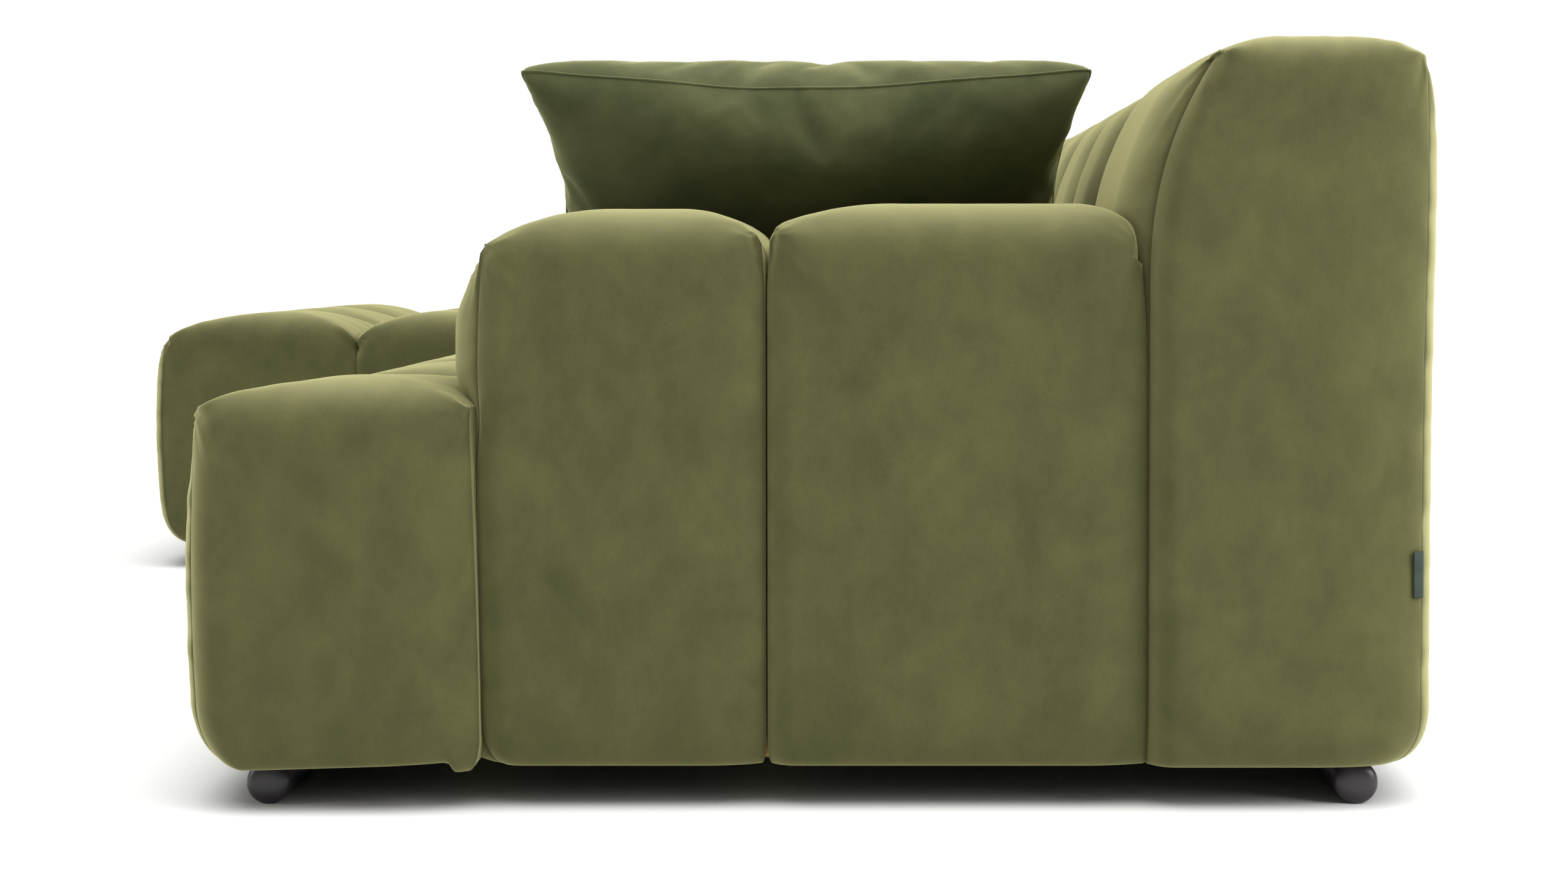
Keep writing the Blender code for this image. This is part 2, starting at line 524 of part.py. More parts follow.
for tag, y in (("front", Y_ARM), ("rear", Y_BACK)):
    prism(f"socket_{tag}", 1, socket_profile, y - HOOK_WIDTH / 2, y + HOOK_WIDTH / 2, STEEL)
    prism(f"hook_{tag}", 1, hook_profile, y - HOOK_WIDTH / 2, y + HOOK_WIDTH / 2, STEEL)


# Loose cushion
def on_cushion(flat, height):
    """Place points given along the cushion's width, up its height and out of its arm-side face."""
    lean_x, lean_z = np.sin(CUSHION_LEAN), np.cos(CUSHION_LEAN)
    middle = np.array([X_ARM - CUSHION_BEHIND_ARM, Y_SPLIT + CUSHION_BACK, height])
    return middle + np.stack([flat[..., 1] * lean_x + flat[..., 2] * lean_z, flat[..., 0],
                              flat[..., 1] * lean_z - flat[..., 2] * lean_x], axis=-1)


def pillow_skin(u, v):
    """Half of a pillow lens: the outline draws in between its corners, and the skin rises to the middle."""
    s = CUSHION_WIDTH / 2 * u * (1 - CUSHION_WAIST * (1 - v ** 2))
    t = CUSHION_HEIGHT / 2 * v * (1 - CUSHION_DIP * (1 - u ** 2))
    bulge = CUSHION_THICK / 2 * np.clip((1 - u ** 2) * (1 - v ** 2), 0, 1) ** 0.55
    return np.stack([s, t, bulge], axis=-1)


def seat_height(x, y):
    """The seat cover's top, straight between its lattice points."""
    xs, u = cells(seat_columns, ACROSS)
    ys, v = cells((Y_SEAT, Y_ARM, Y_SPLIT, Y_BACK - SOFT_GAP), ACROSS)
    swell = np.interp(x, xs, 1 - np.abs(u) ** 2.5) * np.interp(y, ys, 1 - np.abs(v) ** 2.5)
    return SEAT_TOP - SEAT_CROWN * (1 - swell)


PILLOW_U = np.linspace(-1, 1, 13)
PILLOW_V = np.linspace(-1, 1, 11)
grid_u, grid_v = np.meshgrid(PILLOW_U, PILLOW_V, indexing='ij')
coarse = pillow_skin(grid_u, grid_v)
fine_u, fine_v = np.linspace(-1, 1, 121), np.linspace(-1, 1, 101)
spread_u = np.stack([np.interp(fine_u, PILLOW_U, row) for row in np.eye(len(PILLOW_U))], axis=-1)
spread_v = np.stack([np.interp(fine_v, PILLOW_V, row) for row in np.eye(len(PILLOW_V))], axis=-1)
lower = on_cushion(np.einsum('ai,ijc,bj->abc', spread_u, coarse, spread_v), 0.0)
CUSHION_MIDDLE = FIT + np.max(seat_height(lower[..., 0], lower[..., 1]) - lower[..., 2])


def pillow(name, share, colour):
    """Two pillow skins, front and rear, sharing the points along their outline."""
    inner = np.zeros(grid_u.shape, dtype=bool)
    inner[1:-1, 1:-1] = True
    front = np.arange(grid_u.size).reshape(grid_u.shape)
    rear = front.copy()
    rear[inner] = grid_u.size + np.arange(inner.sum())
    flat = share * np.concatenate([coarse.reshape(-1, 3), coarse[inner] * (1, 1, -1)])
    toward = ((grid_u * grid_v)[:-1, :-1] + (grid_u * grid_v)[1:, 1:]).ravel() > 0
    faces = []
    for grid, flip in ((front, False), (rear, True)):
        quad = np.stack([grid[:-1, :-1], grid[1:, :-1], grid[1:, 1:], grid[:-1, 1:]], axis=-1).reshape(-1, 4)
        halves = np.concatenate([quad[toward, :3], quad[toward][:, [0, 2, 3]],
                                 quad[~toward, 1:], quad[~toward][:, [0, 1, 3]]])
        faces.append(halves[:, ::-1] if flip else halves)
    return add(name, on_cushion(flat, CUSHION_MIDDLE), np.concatenate(faces), colour)


cushion_case = pillow("cushion_case", 1.0, DARK_VELVET)
inside = 1 - 2 * CASE_WALL / CUSHION_THICK
cut(cushion_case, pillow("cushion_hollow", inside, DARK_VELVET))
pillow("cushion_filling", inside - 4 * FIT / CUSHION_THICK, FOAM)
zip_low = np.array([-CUSHION_ZIP / 2, -CUSHION_HEIGHT / 2 - 0.020, -CUSHION_SLIT / 2])
zip_depth = -CUSHION_HEIGHT / 2 * inside * (1 - CUSHION_DIP) + 0.012
zip_high = np.array([CUSHION_ZIP / 2, zip_depth, CUSHION_SLIT / 2])
zip_places, zip_faces = skin((2, 2, 2))
zip_box = on_cushion(zip_low + zip_places * (zip_high - zip_low), CUSHION_MIDDLE)
cut(cushion_case, add("zip_slit", zip_box, zip_faces, DARK_VELVET))
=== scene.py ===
import bpy
import numpy as np
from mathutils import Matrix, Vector


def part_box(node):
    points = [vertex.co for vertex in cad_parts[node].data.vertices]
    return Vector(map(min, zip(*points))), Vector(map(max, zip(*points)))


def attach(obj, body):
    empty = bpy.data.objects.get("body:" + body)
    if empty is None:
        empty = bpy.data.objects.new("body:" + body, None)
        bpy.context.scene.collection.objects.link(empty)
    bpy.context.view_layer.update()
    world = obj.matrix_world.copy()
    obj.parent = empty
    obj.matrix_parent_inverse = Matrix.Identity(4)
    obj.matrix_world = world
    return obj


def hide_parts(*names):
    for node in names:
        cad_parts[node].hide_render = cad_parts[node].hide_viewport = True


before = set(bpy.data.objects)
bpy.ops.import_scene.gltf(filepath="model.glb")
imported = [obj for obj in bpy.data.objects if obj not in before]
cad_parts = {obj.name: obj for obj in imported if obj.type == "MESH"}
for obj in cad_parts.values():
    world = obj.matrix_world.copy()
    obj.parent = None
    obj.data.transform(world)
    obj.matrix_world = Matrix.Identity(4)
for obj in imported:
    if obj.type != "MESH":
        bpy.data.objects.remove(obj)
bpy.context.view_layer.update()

# Base frame: sawn softwood rails and posts, glued and screwed into two boxes that the covers hide.
# Sawn spruce is pale, with straight grain about 4 mm wide and a dull cut surface.
MM_PER_M = 1000.0
grain_mm = (100 / 3, 100 / 3, 4.0)


def hex_colour(code):
    """Linear colour from an sRGB hex code: each channel is undone by the sRGB curve."""
    channel = np.array([int(code[n:n + 2], 16) for n in (1, 3, 5)]) / 255
    linear = np.where(channel <= 0.04045, channel / 12.92, ((channel + 0.055) / 1.055) ** 2.4)
    return (*linear.tolist(), 1.0)


def node(tree, kind, inputs=(), **settings):
    """Adds one node, sets its own settings, and fills or links the sockets named in inputs."""
    made = tree.nodes.new(kind)
    for key, value in settings.items():
        setattr(made, key, value)
    for socket, value in dict(inputs).items():
        if isinstance(value, bpy.types.NodeSocket):
            tree.links.new(value, made.inputs[socket])
        else:
            made.inputs[socket].default_value = value
    return made


def new_finish(name, **constants):
    """A node material with the given constants on its Principled shader.

    Returns the material, its node tree, the shader and the object coordinates.
    """
    made = bpy.data.materials.new(name)
    made.use_nodes = True
    tree = made.node_tree
    shader = tree.nodes["Principled BSDF"]
    for socket, value in constants.items():
        shader.inputs[socket.replace("_", " ")].default_value = value
    place = node(tree, "ShaderNodeTexCoord").outputs["Object"]
    return made, tree, shader, place


def dress(finish, *nodes):
    """Gives CAD nodes a finish in place of their plain one."""
    for name in nodes:
        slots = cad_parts[name].data.materials
        slots.clear()
        slots.append(finish)


spruce, tree, shader, place = new_finish("sawn_spruce", Roughness=0.78, IOR=1.45)
stretched = node(tree, "ShaderNodeMapping", {"Vector": place, "Scale": [MM_PER_M / mm for mm in grain_mm]})
grain = node(tree, "ShaderNodeTexNoise", {"Vector": stretched.outputs[0], "Scale": 1.0, "Detail": 5.0})
growth = node(tree, "ShaderNodeValToRGB", {"Fac": grain.outputs["Fac"]})
growth.color_ramp.elements[0].color = hex_colour("#B98F5C")
growth.color_ramp.elements[1].color = hex_colour("#E2C294")
tree.links.new(growth.outputs["Color"], shader.inputs["Base Color"])
sawn = node(tree, "ShaderNodeBump", {"Height": grain.outputs["Fac"], "Strength": 0.3, "Distance": 0.0006})
tree.links.new(sawn.outputs["Normal"], shader.inputs["Normal"])
dress(spruce, "front_rail", "rear_rail", "arm_end_rail", "join_end_rail", "arm_inner_rail",
      "centre_rail", "back_frame", "chaise_front_rail", "chaise_rear_rail", "chaise_outer_rail",
      "chaise_inner_rail", "chaise_cross_rail", "chaise_back_frame")

# Boards: plywood cheeks that box in the arm, and thin hardboard stapled over the back frames.
# Raw board is mid brown and dull, with flecks of chip about 6 mm long.
chip_mm = 6.0
board, tree, shader, place = new_finish("raw_board", Roughness=0.7, IOR=1.45)
chip = node(tree, "ShaderNodeTexVoronoi", {"Vector": place, "Scale": MM_PER_M / chip_mm})
flecks = node(tree, "ShaderNodeValToRGB", {"Fac": chip.outputs["Distance"]})
flecks.color_ramp.elements[0].color = hex_colour("#8A6238")
flecks.color_ramp.elements[1].color = hex_colour("#B08A5A")
tree.links.new(flecks.outputs["Color"], shader.inputs["Base Color"])
pressed = node(tree, "ShaderNodeBump", {
    "Height": chip.outputs["Distance"], "Strength": 0.2, "Distance": 0.0003})
tree.links.new(pressed.outputs["Normal"], shader.inputs["Normal"])
dress(board, "arm_outer_board", "arm_inner_board", "arm_front_board", "arm_top_board", "back_panel",
      "chaise_back_panel")

# Webbing: woven elastic straps, black-grey and dull, stretched over the rails and stapled.
# The ribs across them are about 3 mm apart, drawn here at about 19 mm so that they show.
# A wave texture at scale 1 turns through 20 radians in a metre.
rib_mm = 18.85
WAVES_PER_M = 20 / (2 * np.pi)
strap, tree, shader, place = new_finish("elastic_webbing", Roughness=0.85, IOR=1.45)
rib = node(tree, "ShaderNodeTexWave", {
    "Vector": place, "Scale": MM_PER_M / rib_mm / WAVES_PER_M, "Distortion": 0.4}, bands_direction='X')
woven = node(tree, "ShaderNodeValToRGB", {"Fac": rib.outputs["Fac"]})
woven.color_ramp.elements[0].color = hex_colour("#3A3A3E")
woven.color_ramp.elements[1].color = hex_colour("#5C5C62")
tree.links.new(woven.outputs["Color"], shader.inputs["Base Color"])
ribs = node(tree, "ShaderNodeBump", {"Height": rib.outputs["Fac"], "Strength": 0.4, "Distance": 0.0006})
tree.links.new(ribs.outputs["Normal"], shader.inputs["Normal"])
dress(strap, "seat_webbing", "chaise_webbing")

# Dust lining: black non-woven cloth of pressed fibre, stapled under the rails of both sections.
# It is matt, with a fine speckle of fibres about 3 mm long.
fibre_mm = 3.0
lining, tree, shader, place = new_finish("spunbond_lining", Roughness=0.95, IOR=1.4)
fibre = node(tree, "ShaderNodeTexNoise", {"Vector": place, "Scale": MM_PER_M / fibre_mm, "Detail": 4.0})
speck = node(tree, "ShaderNodeValToRGB", {"Fac": fibre.outputs["Fac"]})
speck.color_ramp.elements[0].color = hex_colour("#1C1C1C")
speck.color_ramp.elements[1].color = hex_colour("#3A3A3A")
tree.links.new(speck.outputs["Color"], shader.inputs["Base Color"])
dress(lining, "base_lining", "chaise_lining")

# Fixings: zinc-plated steel bolts through the feet, and pressed hooks and sockets that join the sections.
# The plating is a pale metal with a faint cloudy spangle about 8 mm across.
spangle_mm = 8.0
foot_numbers = range(1, 9)
zinc, tree, shader, place = new_finish("zinc_plate", Metallic=1.0, Roughness=0.38)
spangle = node(tree, "ShaderNodeTexVoronoi", {"Vector": place, "Scale": MM_PER_M / spangle_mm})
plated = node(tree, "ShaderNodeValToRGB", {"Fac": spangle.outputs["Distance"]})
plated.color_ramp.elements[0].color = hex_colour("#AEB2B6")
plated.color_ramp.elements[1].color = hex_colour("#CDD0D2")
tree.links.new(plated.outputs["Color"], shader.inputs["Base Color"])
dress(zinc, *[f"foot_bolt_{number}" for number in foot_numbers], "socket_front", "socket_rear",
      "hook_front", "hook_rear")

# Feet: turned beech bars with softly domed ends, lying along the width, in satin black-brown lacquer.
# A thin film lacquer hides the grain and gives a soft highlight. Its colour drifts over some 40 mm, and
# it has a faint orange-peel ripple about 5 mm wide.
drift_mm, peel_mm = 40.0, 5.0
bar_sides, dome_rings = 64, 16
dome_depth, dome_tip, dome_power = 0.009, 0.04, 0.7
last_sofa_foot = 4
lacquer, tree, shader, place = new_finish("satin_lacquer", Roughness=0.36, IOR=1.5)
drift = node(tree, "ShaderNodeTexNoise", {"Vector": place, "Scale": MM_PER_M / drift_mm, "Detail": 3.0})
tone = node(tree, "ShaderNodeValToRGB", {"Fac": drift.outputs["Fac"]})
tone.color_ramp.elements[0].color = hex_colour("#262226")
tone.color_ramp.elements[1].color = hex_colour("#353035")
tree.links.new(tone.outputs["Color"], shader.inputs["Base Color"])
peel = node(tree, "ShaderNodeTexNoise", {"Vector": place, "Scale": MM_PER_M / peel_mm})
ripple = node(tree, "ShaderNodeBump", {"Height": peel.outputs["Fac"], "Strength": 0.12, "Distance": 0.0004})
tree.links.new(ripple.outputs["Normal"], shader.inputs["Normal"])


def placed(name, data):
    """A new object with the given data, linked to the scene at the origin."""
    made = bpy.data.objects.new(name, data)
    bpy.context.scene.collection.objects.link(made)
    return made


def mesh_piece(name, points, faces, finish, body, slot):
    """A smooth mesh object at the origin from an array of points and a list of faces, riding on a body."""
    mesh = bpy.data.meshes.new(name)
    mesh.from_pydata(points.reshape(-1, 3).tolist(), [], faces)
    mesh.validate()
    mesh.polygons.foreach_set("use_smooth", np.ones(len(mesh.polygons), bool))
    mesh.materials.append(finish)
    piece = placed(name, mesh)
    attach(piece, body)
    return piece


def quads_between(index):
    """Quads between the neighbouring rows and columns of a grid of point numbers."""
    corners = [index[:-1, :-1], index[1:, :-1], index[1:, 1:], index[:-1, 1:]]
    return np.stack(corners, axis=-1).reshape(-1, 4)


def joined_round(index):
    """A grid of point numbers with its first column once more after its last."""
    return np.concatenate([index, index[:, :1]], axis=1)


def turned_bar(low, high):
    """A round bar along X: rings that shrink at each end as a flattened dome, and a flat planed along it.

    From an end inward, the dome's depth goes as one minus the cosine of an even angle and its radius as a
    power of the sine; the bar is cut off level where it would pass the height of its box.
    """
    half = (high.z - low.z) / 2
    angle = np.linspace(0, 2 * np.pi, bar_sides + 1)[:-1]
    dome = np.linspace(dome_tip, np.pi / 2, dome_rings)
    depth = dome_depth * (1 - np.cos(dome))
    ring = np.sin(dome) ** dome_power
    x = np.concatenate([low.x + depth, (high.x - depth)[::-1]])
    radius = np.concatenate([ring, ring[::-1]])[:, None] * (high.y - low.y) / 2
    y = (low.y + high.y) / 2 + radius * np.cos(angle)
    z = low.z + half + np.clip(radius * np.sin(angle), -half, half)
    points = np.stack([np.broadcast_to(x[:, None], y.shape), y, z], axis=-1)
    index = np.arange(y.size).reshape(y.shape)
    ends = [index[0].tolist(), index[-1, ::-1].tolist()]
    return points, quads_between(joined_round(index)).tolist() + ends


for number in foot_numbers:
    foot = mesh_piece(f"turned_foot_{number}", *turned_bar(*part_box(f"foot_bar_{number}")), lacquer,
                      "sofa" if number <= last_sofa_foot else "chaise", "dark_bar")
    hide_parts(f"foot_bar_{number}")

# Olive velvet: short-pile polyester velvet over wadding. The pile is brushed one way and the other by hands,
# which leaves soft clouds and streaks 40 to 90 mm wide. Where a face is seen edge-on its colour is mixed
# toward pale olive: a painted sheen.
# The pile's tips are 0.3 mm apart, drawn here at about 2 mm so that they show.
cloud_mm, streak_mm, tips_mm = 90.0, (38.46, 38.46, 58.82), 2.0
velvet, tree, shader, place = new_finish(
    "olive_velvet", Roughness=0.8, IOR=1.4, Specular_IOR_Level=0.15,
    Sheen_Weight=0.45, Sheen_Roughness=0.42, Sheen_Tint=hex_colour("#C9C48C"))
cloud = node(tree, "ShaderNodeTexNoise", {
    "Vector": place, "Scale": MM_PER_M / cloud_mm, "Detail": 3.0, "Roughness": 0.6, "Distortion": 0.6})
slanted = node(tree, "ShaderNodeMapping", {
    "Vector": place, "Rotation": (0.5, 0.0, 0.4), "Scale": [MM_PER_M / mm for mm in streak_mm]})
streak = node(tree, "ShaderNodeTexNoise", {
    "Vector": slanted.outputs[0], "Scale": 1.0, "Detail": 5.0, "Roughness": 0.7})
tips = node(tree, "ShaderNodeTexNoise", {"Vector": place, "Scale": MM_PER_M / tips_mm, "Detail": 2.0})
brushed = node(tree, "ShaderNodeMath", {0: cloud.outputs["Fac"], 1: streak.outputs["Fac"]}, operation='ADD')
evened = node(tree, "ShaderNodeMath", {0: brushed.outputs[0], 1: 0.42}, operation='MULTIPLY')
pile = node(tree, "ShaderNodeMath", {0: tips.outputs["Fac"], 1: 0.16, 2: evened.outputs[0]},
            operation='MULTIPLY_ADD')
nap = node(tree, "ShaderNodeValToRGB", {"Fac": pile.outputs[0]})
nap.color_ramp.elements[0].position = 0.32
nap.color_ramp.elements[0].color = hex_colour("#4A4B2F")
nap.color_ramp.elements[1].position = 0.68
nap.color_ramp.elements[1].color = hex_colour("#60603C")
# Painted sheen: the more a face turns edge-on to the camera, the more its colour goes to pale olive.
edge_on = node(tree, "ShaderNodeLayerWeight", {"Blend": 0.35})
painted_sheen_share = node(tree, "ShaderNodeMath", {0: edge_on.outputs["Facing"], 1: 2.0}, operation='POWER')
painted_sheen_colour = node(tree, "ShaderNodeMix", {0: painted_sheen_share.outputs[0], 6: nap.outputs["Color"], 7: hex_colour("#BBB884")},
           data_type='RGBA')
# Painted shade: along each seam the colour goes toward deep olive, standing for the shade in the seam's
# groove.
seam_shade_mask = node(tree, "ShaderNodeAttribute", attribute_name="seam")
painted_seam_shade = node(tree, "ShaderNodeMix", {0: seam_shade_mask.outputs["Fac"], 6: painted_sheen_colour.outputs[2], 7: hex_colour("#2C2C1A")},
               data_type='RGBA')
tree.links.new(painted_seam_shade.outputs[2], shader.inputs["Base Color"])
fur = node(tree, "ShaderNodeBump", {"Height": tips.outputs["Fac"], "Strength": 0.25, "Distance": 0.0008})
lay = node(tree, "ShaderNodeBump", {
    "Height": streak.outputs["Fac"], "Strength": 0.12, "Distance": 0.004, "Normal": fur.outputs["Normal"]})
tree.links.new(lay.outputs["Normal"], shader.inputs["Normal"])

# Seat end: the low padded block in front of the arm. Its top and outer side are one piece of velvet over
# foam, sewn to the front panel down the corners, where the stuffing stands up in small ears.
PLAIN = {"swell": 0.0, "swell_reach": 0.0}
NEAR_SIDE = {"reach": 0.075, "drop": 0.056, "swell": 0.015, "swell_reach": 0.024,
             "lopsided": 0.4, "tuck": (0.018, 0.065)}


def rolled(t, power=2.0):
    """Quarter of a rounded square, 1 at a seam and 0 from one reach away; with power 2 it is an ellipse."""
    return 1 - (1 - np.clip(1 - np.asarray(t), 0, 1) ** power) ** (1 / power)


def stations(seams, reaches, pitch):
    """Places across the cells between seams, bunched near each seam as the cosine of even angles.

    Returns the places, the distance of each to the seam before it and after it, and the number of its cell.
    """
    quarter_arc, fewest, most_of_cell = 1.57, 6, 0.98
    places, cell = [np.array(seams[:1], float)], [np.array([0])]
    for number, (start, end) in enumerate(zip(seams[:-1], seams[1:])):
        share = min(1.0, most_of_cell * (end - start) / (reaches[number] + reaches[number + 1]))
        first, last = reaches[number] * share, reaches[number + 1] * share
        counts = [max(fewest, int(quarter_arc * reach / pitch)) for reach in (first, last)]
        rise, fall = (1 - np.cos(np.linspace(0, np.pi / 2, count)) for count in counts)
        between = max(2, int((end - last - start - first) / pitch) + 1)
        middle = np.linspace(start + first, end - last, between)[1:-1]
        line = np.concatenate([start + first * rise[1:], middle, (end - last * fall)[::-1]])
        places.append(line)
        cell.append(np.full(len(line), number))
    places, cell = np.concatenate(places), np.concatenate(cell)
    seams = np.array(seams)
    return places, places - seams[cell], seams[cell + 1] - places, cell


def gathers(s, gap, seed):
    """Small uneven waves along a seam, four sines 28 to 111 mm long, a third as strong 30 mm away from it."""
    length = np.array([0.111, 0.071, 0.047, 0.028])
    weight = np.array([0.4, 0.5, 0.5, 0.4])
    phase = np.array([1.3, 4.1, 2.2, 5.5]) * (seed + 1.7)
    fade, onset = 0.030, 0.006
    wave = np.sum(weight * np.sin(2 * np.pi * np.asarray(s)[..., None] / length + phase), axis=-1)
    return wave * np.exp(-gap / fade) * (1 - np.exp(-gap / onset))


def pucker(along, down, seed):
    """Folds that run out from the end of a seam: two waves in the angle round it, a third left 24 mm away."""
    turns, finer, fade, onset = 5.5, 0.6, 0.024, 0.010
    away, angle = np.hypot(along, down), np.arctan2(down, along)
    fold = np.cos(turns * angle + seed) + finer * np.cos(2 * turns * angle + 2 * seed)
    return fold * np.exp(-away / fade) * (1 - np.exp(-away / onset))


def padded_block(x_seams, y_seams, hem, top, sides, seed, pitch, valley=(0.0, 0.0, 1.0)):
    """A padded cover as one skin: a top grid over all its cells, and walls from the grid's rim to the hem.

    The top drops toward each inner seam as a quarter superellipse (valley gives depth, reach and power), and
    toward each outer edge as one of the side's power; the two directions add as a cube norm. Along an outer
    edge the drop goes from a corner value at each crossing seam to its middle value. Walls stand out of the
    seam plane by the swell, nothing at each seam and steep beside it. The seam plane itself bows out, opens
    at the top where two covers part, and tucks in at the hem; what it does fades out along the walls that
    meet it. Also returned: how near each point is to a sewn line, 1 on it and 0 from 5 mm on.

    sides: for left, right, front and rear a dict of reach, drop, corners (one per crossing seam), swell and
    swell_reach. At will: power, of the drop; held, the share of the swell that the top seam allows, and
    freed, how far below that seam the rest takes to come out; lopsided, below 1 where the swell is drawn out
    toward the rear seam; bow, and the skew that puts its peak higher; spread (in, down); tuck (in, up);
    corner_reach and corner_power. A side with no swell_reach is a plain face against the next cover; a plain
    front or rear opens within 60 mm of the right side only, and is tucked along its whole length.
    """
    crease, seam_half, seam_depth = 0.0014, 0.005, 0.004
    end_reach, meet_reach, far_seam = 0.06, 0.09, 9.0
    hem_zone, hem_rows, wall_stretch, calm_hem, lap_width = 0.06, 13, 1.2, 0.08, 0.03
    span = top - hem
    left, right, front, rear = (sides[side] for side in ("left", "right", "front", "rear"))
    valley_depth, valley_reach, valley_power = valley

    def by_seam(key, first, inner, last, seams, usual=None):
        """One value for each seam: the first side's, the same for all inner seams, and the last side's."""
        return np.array([first.get(key, usual)] + [inner] * (len(seams) - 2) + [last.get(key, usual)])

    def edge_drop(side, along, seams):
        """The drop along one outer edge: its middle value, changed toward each crossing seam's own value."""
        drop = np.full(len(along), side["drop"])
        for seam, corner in zip(seams, side["corners"]):
            share = np.abs(along - seam) / side.get("corner_reach", 0.09)
            drop += (corner - side["drop"]) * rolled(share, side.get("corner_power", 2.0))
        return drop

    def fall(depth, reach, power, before, after, cell):
        """The fall of the top toward the seam before each place and the seam after it, added."""
        return (depth[cell] * rolled(before / reach[cell], power[cell])[:, None]
                + depth[cell + 1] * rolled(after / reach[cell + 1], power[cell + 1])[:, None])

    def swell(side, before, after):
        """How far a wall stands out of its seam plane: between a parabola and an ellipse from each seam."""
        if not side["swell_reach"]:
            return 0 * before
        share = np.minimum(before, after * side.get("lopsided", 1.0)) / side["swell_reach"]
        return side["swell"] * (1 - np.clip(1 - share, 0, 1) ** 2) ** 0.7

    def hem_tuck(side, height):
        """How far the hem draws a wall in at a height above it, as a quarter ellipse."""
        tuck_in, tuck_up = side.get("tuck", (0.0, 0.02))
        return tuck_in * rolled(height / tuck_up)

    def plane_shift(side, height):
        """How far the seam plane itself moves out at a height above the hem."""
        level = np.clip(height / span, 0, 1)
        inward, down = side.get("spread", (0.0, 0.1))
        opened = inward * np.clip(1 - (span - height) / down, 0, 1) ** 1.5
        skew = side.get("skew", 1.0)
        peak = (skew + 1) ** (skew + 1) / skew ** skew
        return side.get("bow", 0.0) * level ** skew * (1 - level) * peak - opened - hem_tuck(side, height)

    x_reach = by_seam("reach", left, valley_reach, right, x_seams)
    y_reach = by_seam("reach", front, valley_reach, rear, y_seams)
    x_power = by_seam("power", left, valley_power, right, x_seams, usual=2.4)
    y_power = by_seam("power", front, valley_power, rear, y_seams, usual=2.4)
    x, x_before, x_after, x_cell = stations(x_seams, x_reach, pitch)
    y, y_before, y_after, y_cell = stations(y_seams, y_reach, pitch)
    x_gap, y_gap = np.minimum(x_before, x_after), np.minimum(y_before, y_after)

    x_depth = np.full((len(x_seams), len(y)), valley_depth)
    x_depth[0], x_depth[-1] = edge_drop(left, y, y_seams), edge_drop(right, y, y_seams)
    y_depth = np.full((len(y_seams), len(x)), valley_depth)
    y_depth[0], y_depth[-1] = edge_drop(front, x, x_seams), edge_drop(rear, x, x_seams)
    x_drop = fall(x_depth, x_reach, x_power, x_before, x_after, x_cell)
    y_drop = fall(y_depth, y_reach, y_power, y_before, y_after, y_cell).T
    z = top - (x_drop ** 3 + y_drop ** 3) ** (1 / 3)
    z += (crease * gathers(y[None, :], x_gap[:, None], seed)
          + crease * gathers(x[:, None], y_gap[None, :], seed + 2))
    z += 2 * crease * pucker(x_gap[:, None], y_gap[None, :], seed)
    x_inner = np.min(np.abs(x[:, None] - np.array([*x_seams[1:-1], far_seam])), axis=1)
    y_inner = np.min(np.abs(y[:, None] - np.array([*y_seams[1:-1], far_seam])), axis=1)
    sewn = np.clip(1 - np.minimum(x_inner[:, None], y_inner[None, :]) / seam_half, 0, 1) ** 2
    z -= seam_depth * sewn

    to_left, to_right = x - x_seams[0], x_seams[-1] - x
    to_front, to_rear = y - y_seams[0], y_seams[-1] - y
    outer = np.clip(1 - to_right / end_reach, 0, 1) ** 2
    x_top = np.broadcast_to(x[:, None], z.shape).copy()
    y_top = np.broadcast_to(y[None, :], z.shape).copy()
    for side, distance, sign in ((left, to_left, -1), (right, to_right, 1)):
        near = np.clip(1 - distance / side["reach"], 0, 1)
        x_top += sign * near[:, None] * swell(side, y_before, y_after)[None, :]
    for side, distance, sign in ((front, to_front, -1), (rear, to_rear, 1)):
        near = np.clip(1 - distance / side["reach"], 0, 1)
        out = swell(side, x_before, x_after) * side.get("held", 1.0) + plane_shift(side, span) * outer
        y_top += sign * near[None, :] * out[:, None]

    columns, rows = z.shape
    i = np.concatenate([np.arange(columns - 1), np.full(rows - 1, columns - 1),
                        np.arange(columns - 1, 0, -1), np.zeros(rows - 1, int)])
    j = np.concatenate([np.zeros(columns - 1, int), np.arange(rows - 1),
                        np.full(columns - 1, rows - 1), np.arange(rows - 1, 0, -1)])
    ring = np.stack([x_top[i, j], y_top[i, j], z[i, j]], axis=-1)
    on = {"left": i == 0, "right": i == columns - 1, "front": j == 0, "rear": j == rows - 1}
    away = {"left": to_left[i], "right": to_right[i], "front": to_front[j], "rear": to_rear[j]}
    on_ends, on_faces = on["left"] | on["right"], on["front"] | on["rear"]
    tucked = hem_zone / span
    upper = np.linspace(1, tucked, int((span - hem_zone) / pitch / wall_stretch))[1:]
    lower = tucked * (1 - np.sin(np.linspace(0, np.pi / 2, hem_rows)))[1:]
    level = np.concatenate([upper, lower])[:, None]
    height = level * (ring[:, 2] - hem)
    below_rim = ring[:, 2] - hem - height
    walls = np.broadcast_to(ring, (*height.shape, 3)).copy()
    walls[..., 2] = hem + height
    for name, axis, sign in (("left", 0, -1), ("right", 0, 1), ("front", 1, -1), ("rear", 1, 1)):
        side = sides[name]
        plain = not side["swell_reach"]
        shift = plane_shift(side, height) - plane_shift(side, span)
        beside = np.clip(1 - away[name] / meet_reach, 0, 1) ** 2
        near = np.where(on[name], outer[i] if plain and axis else 1.0, beside)
        walls[..., axis] += sign * shift * near * (on[name] | (on_ends if axis else on_faces))
        if plain and axis:
            walls[..., axis] -= sign * hem_tuck(side, height) * on[name] * (1 - outer[i])
        if axis:
            below = np.clip(below_rim / side.get("freed", 0.06), 0, 1)
            freed = (1 - side.get("held", 1.0)) * below * (2 - below)
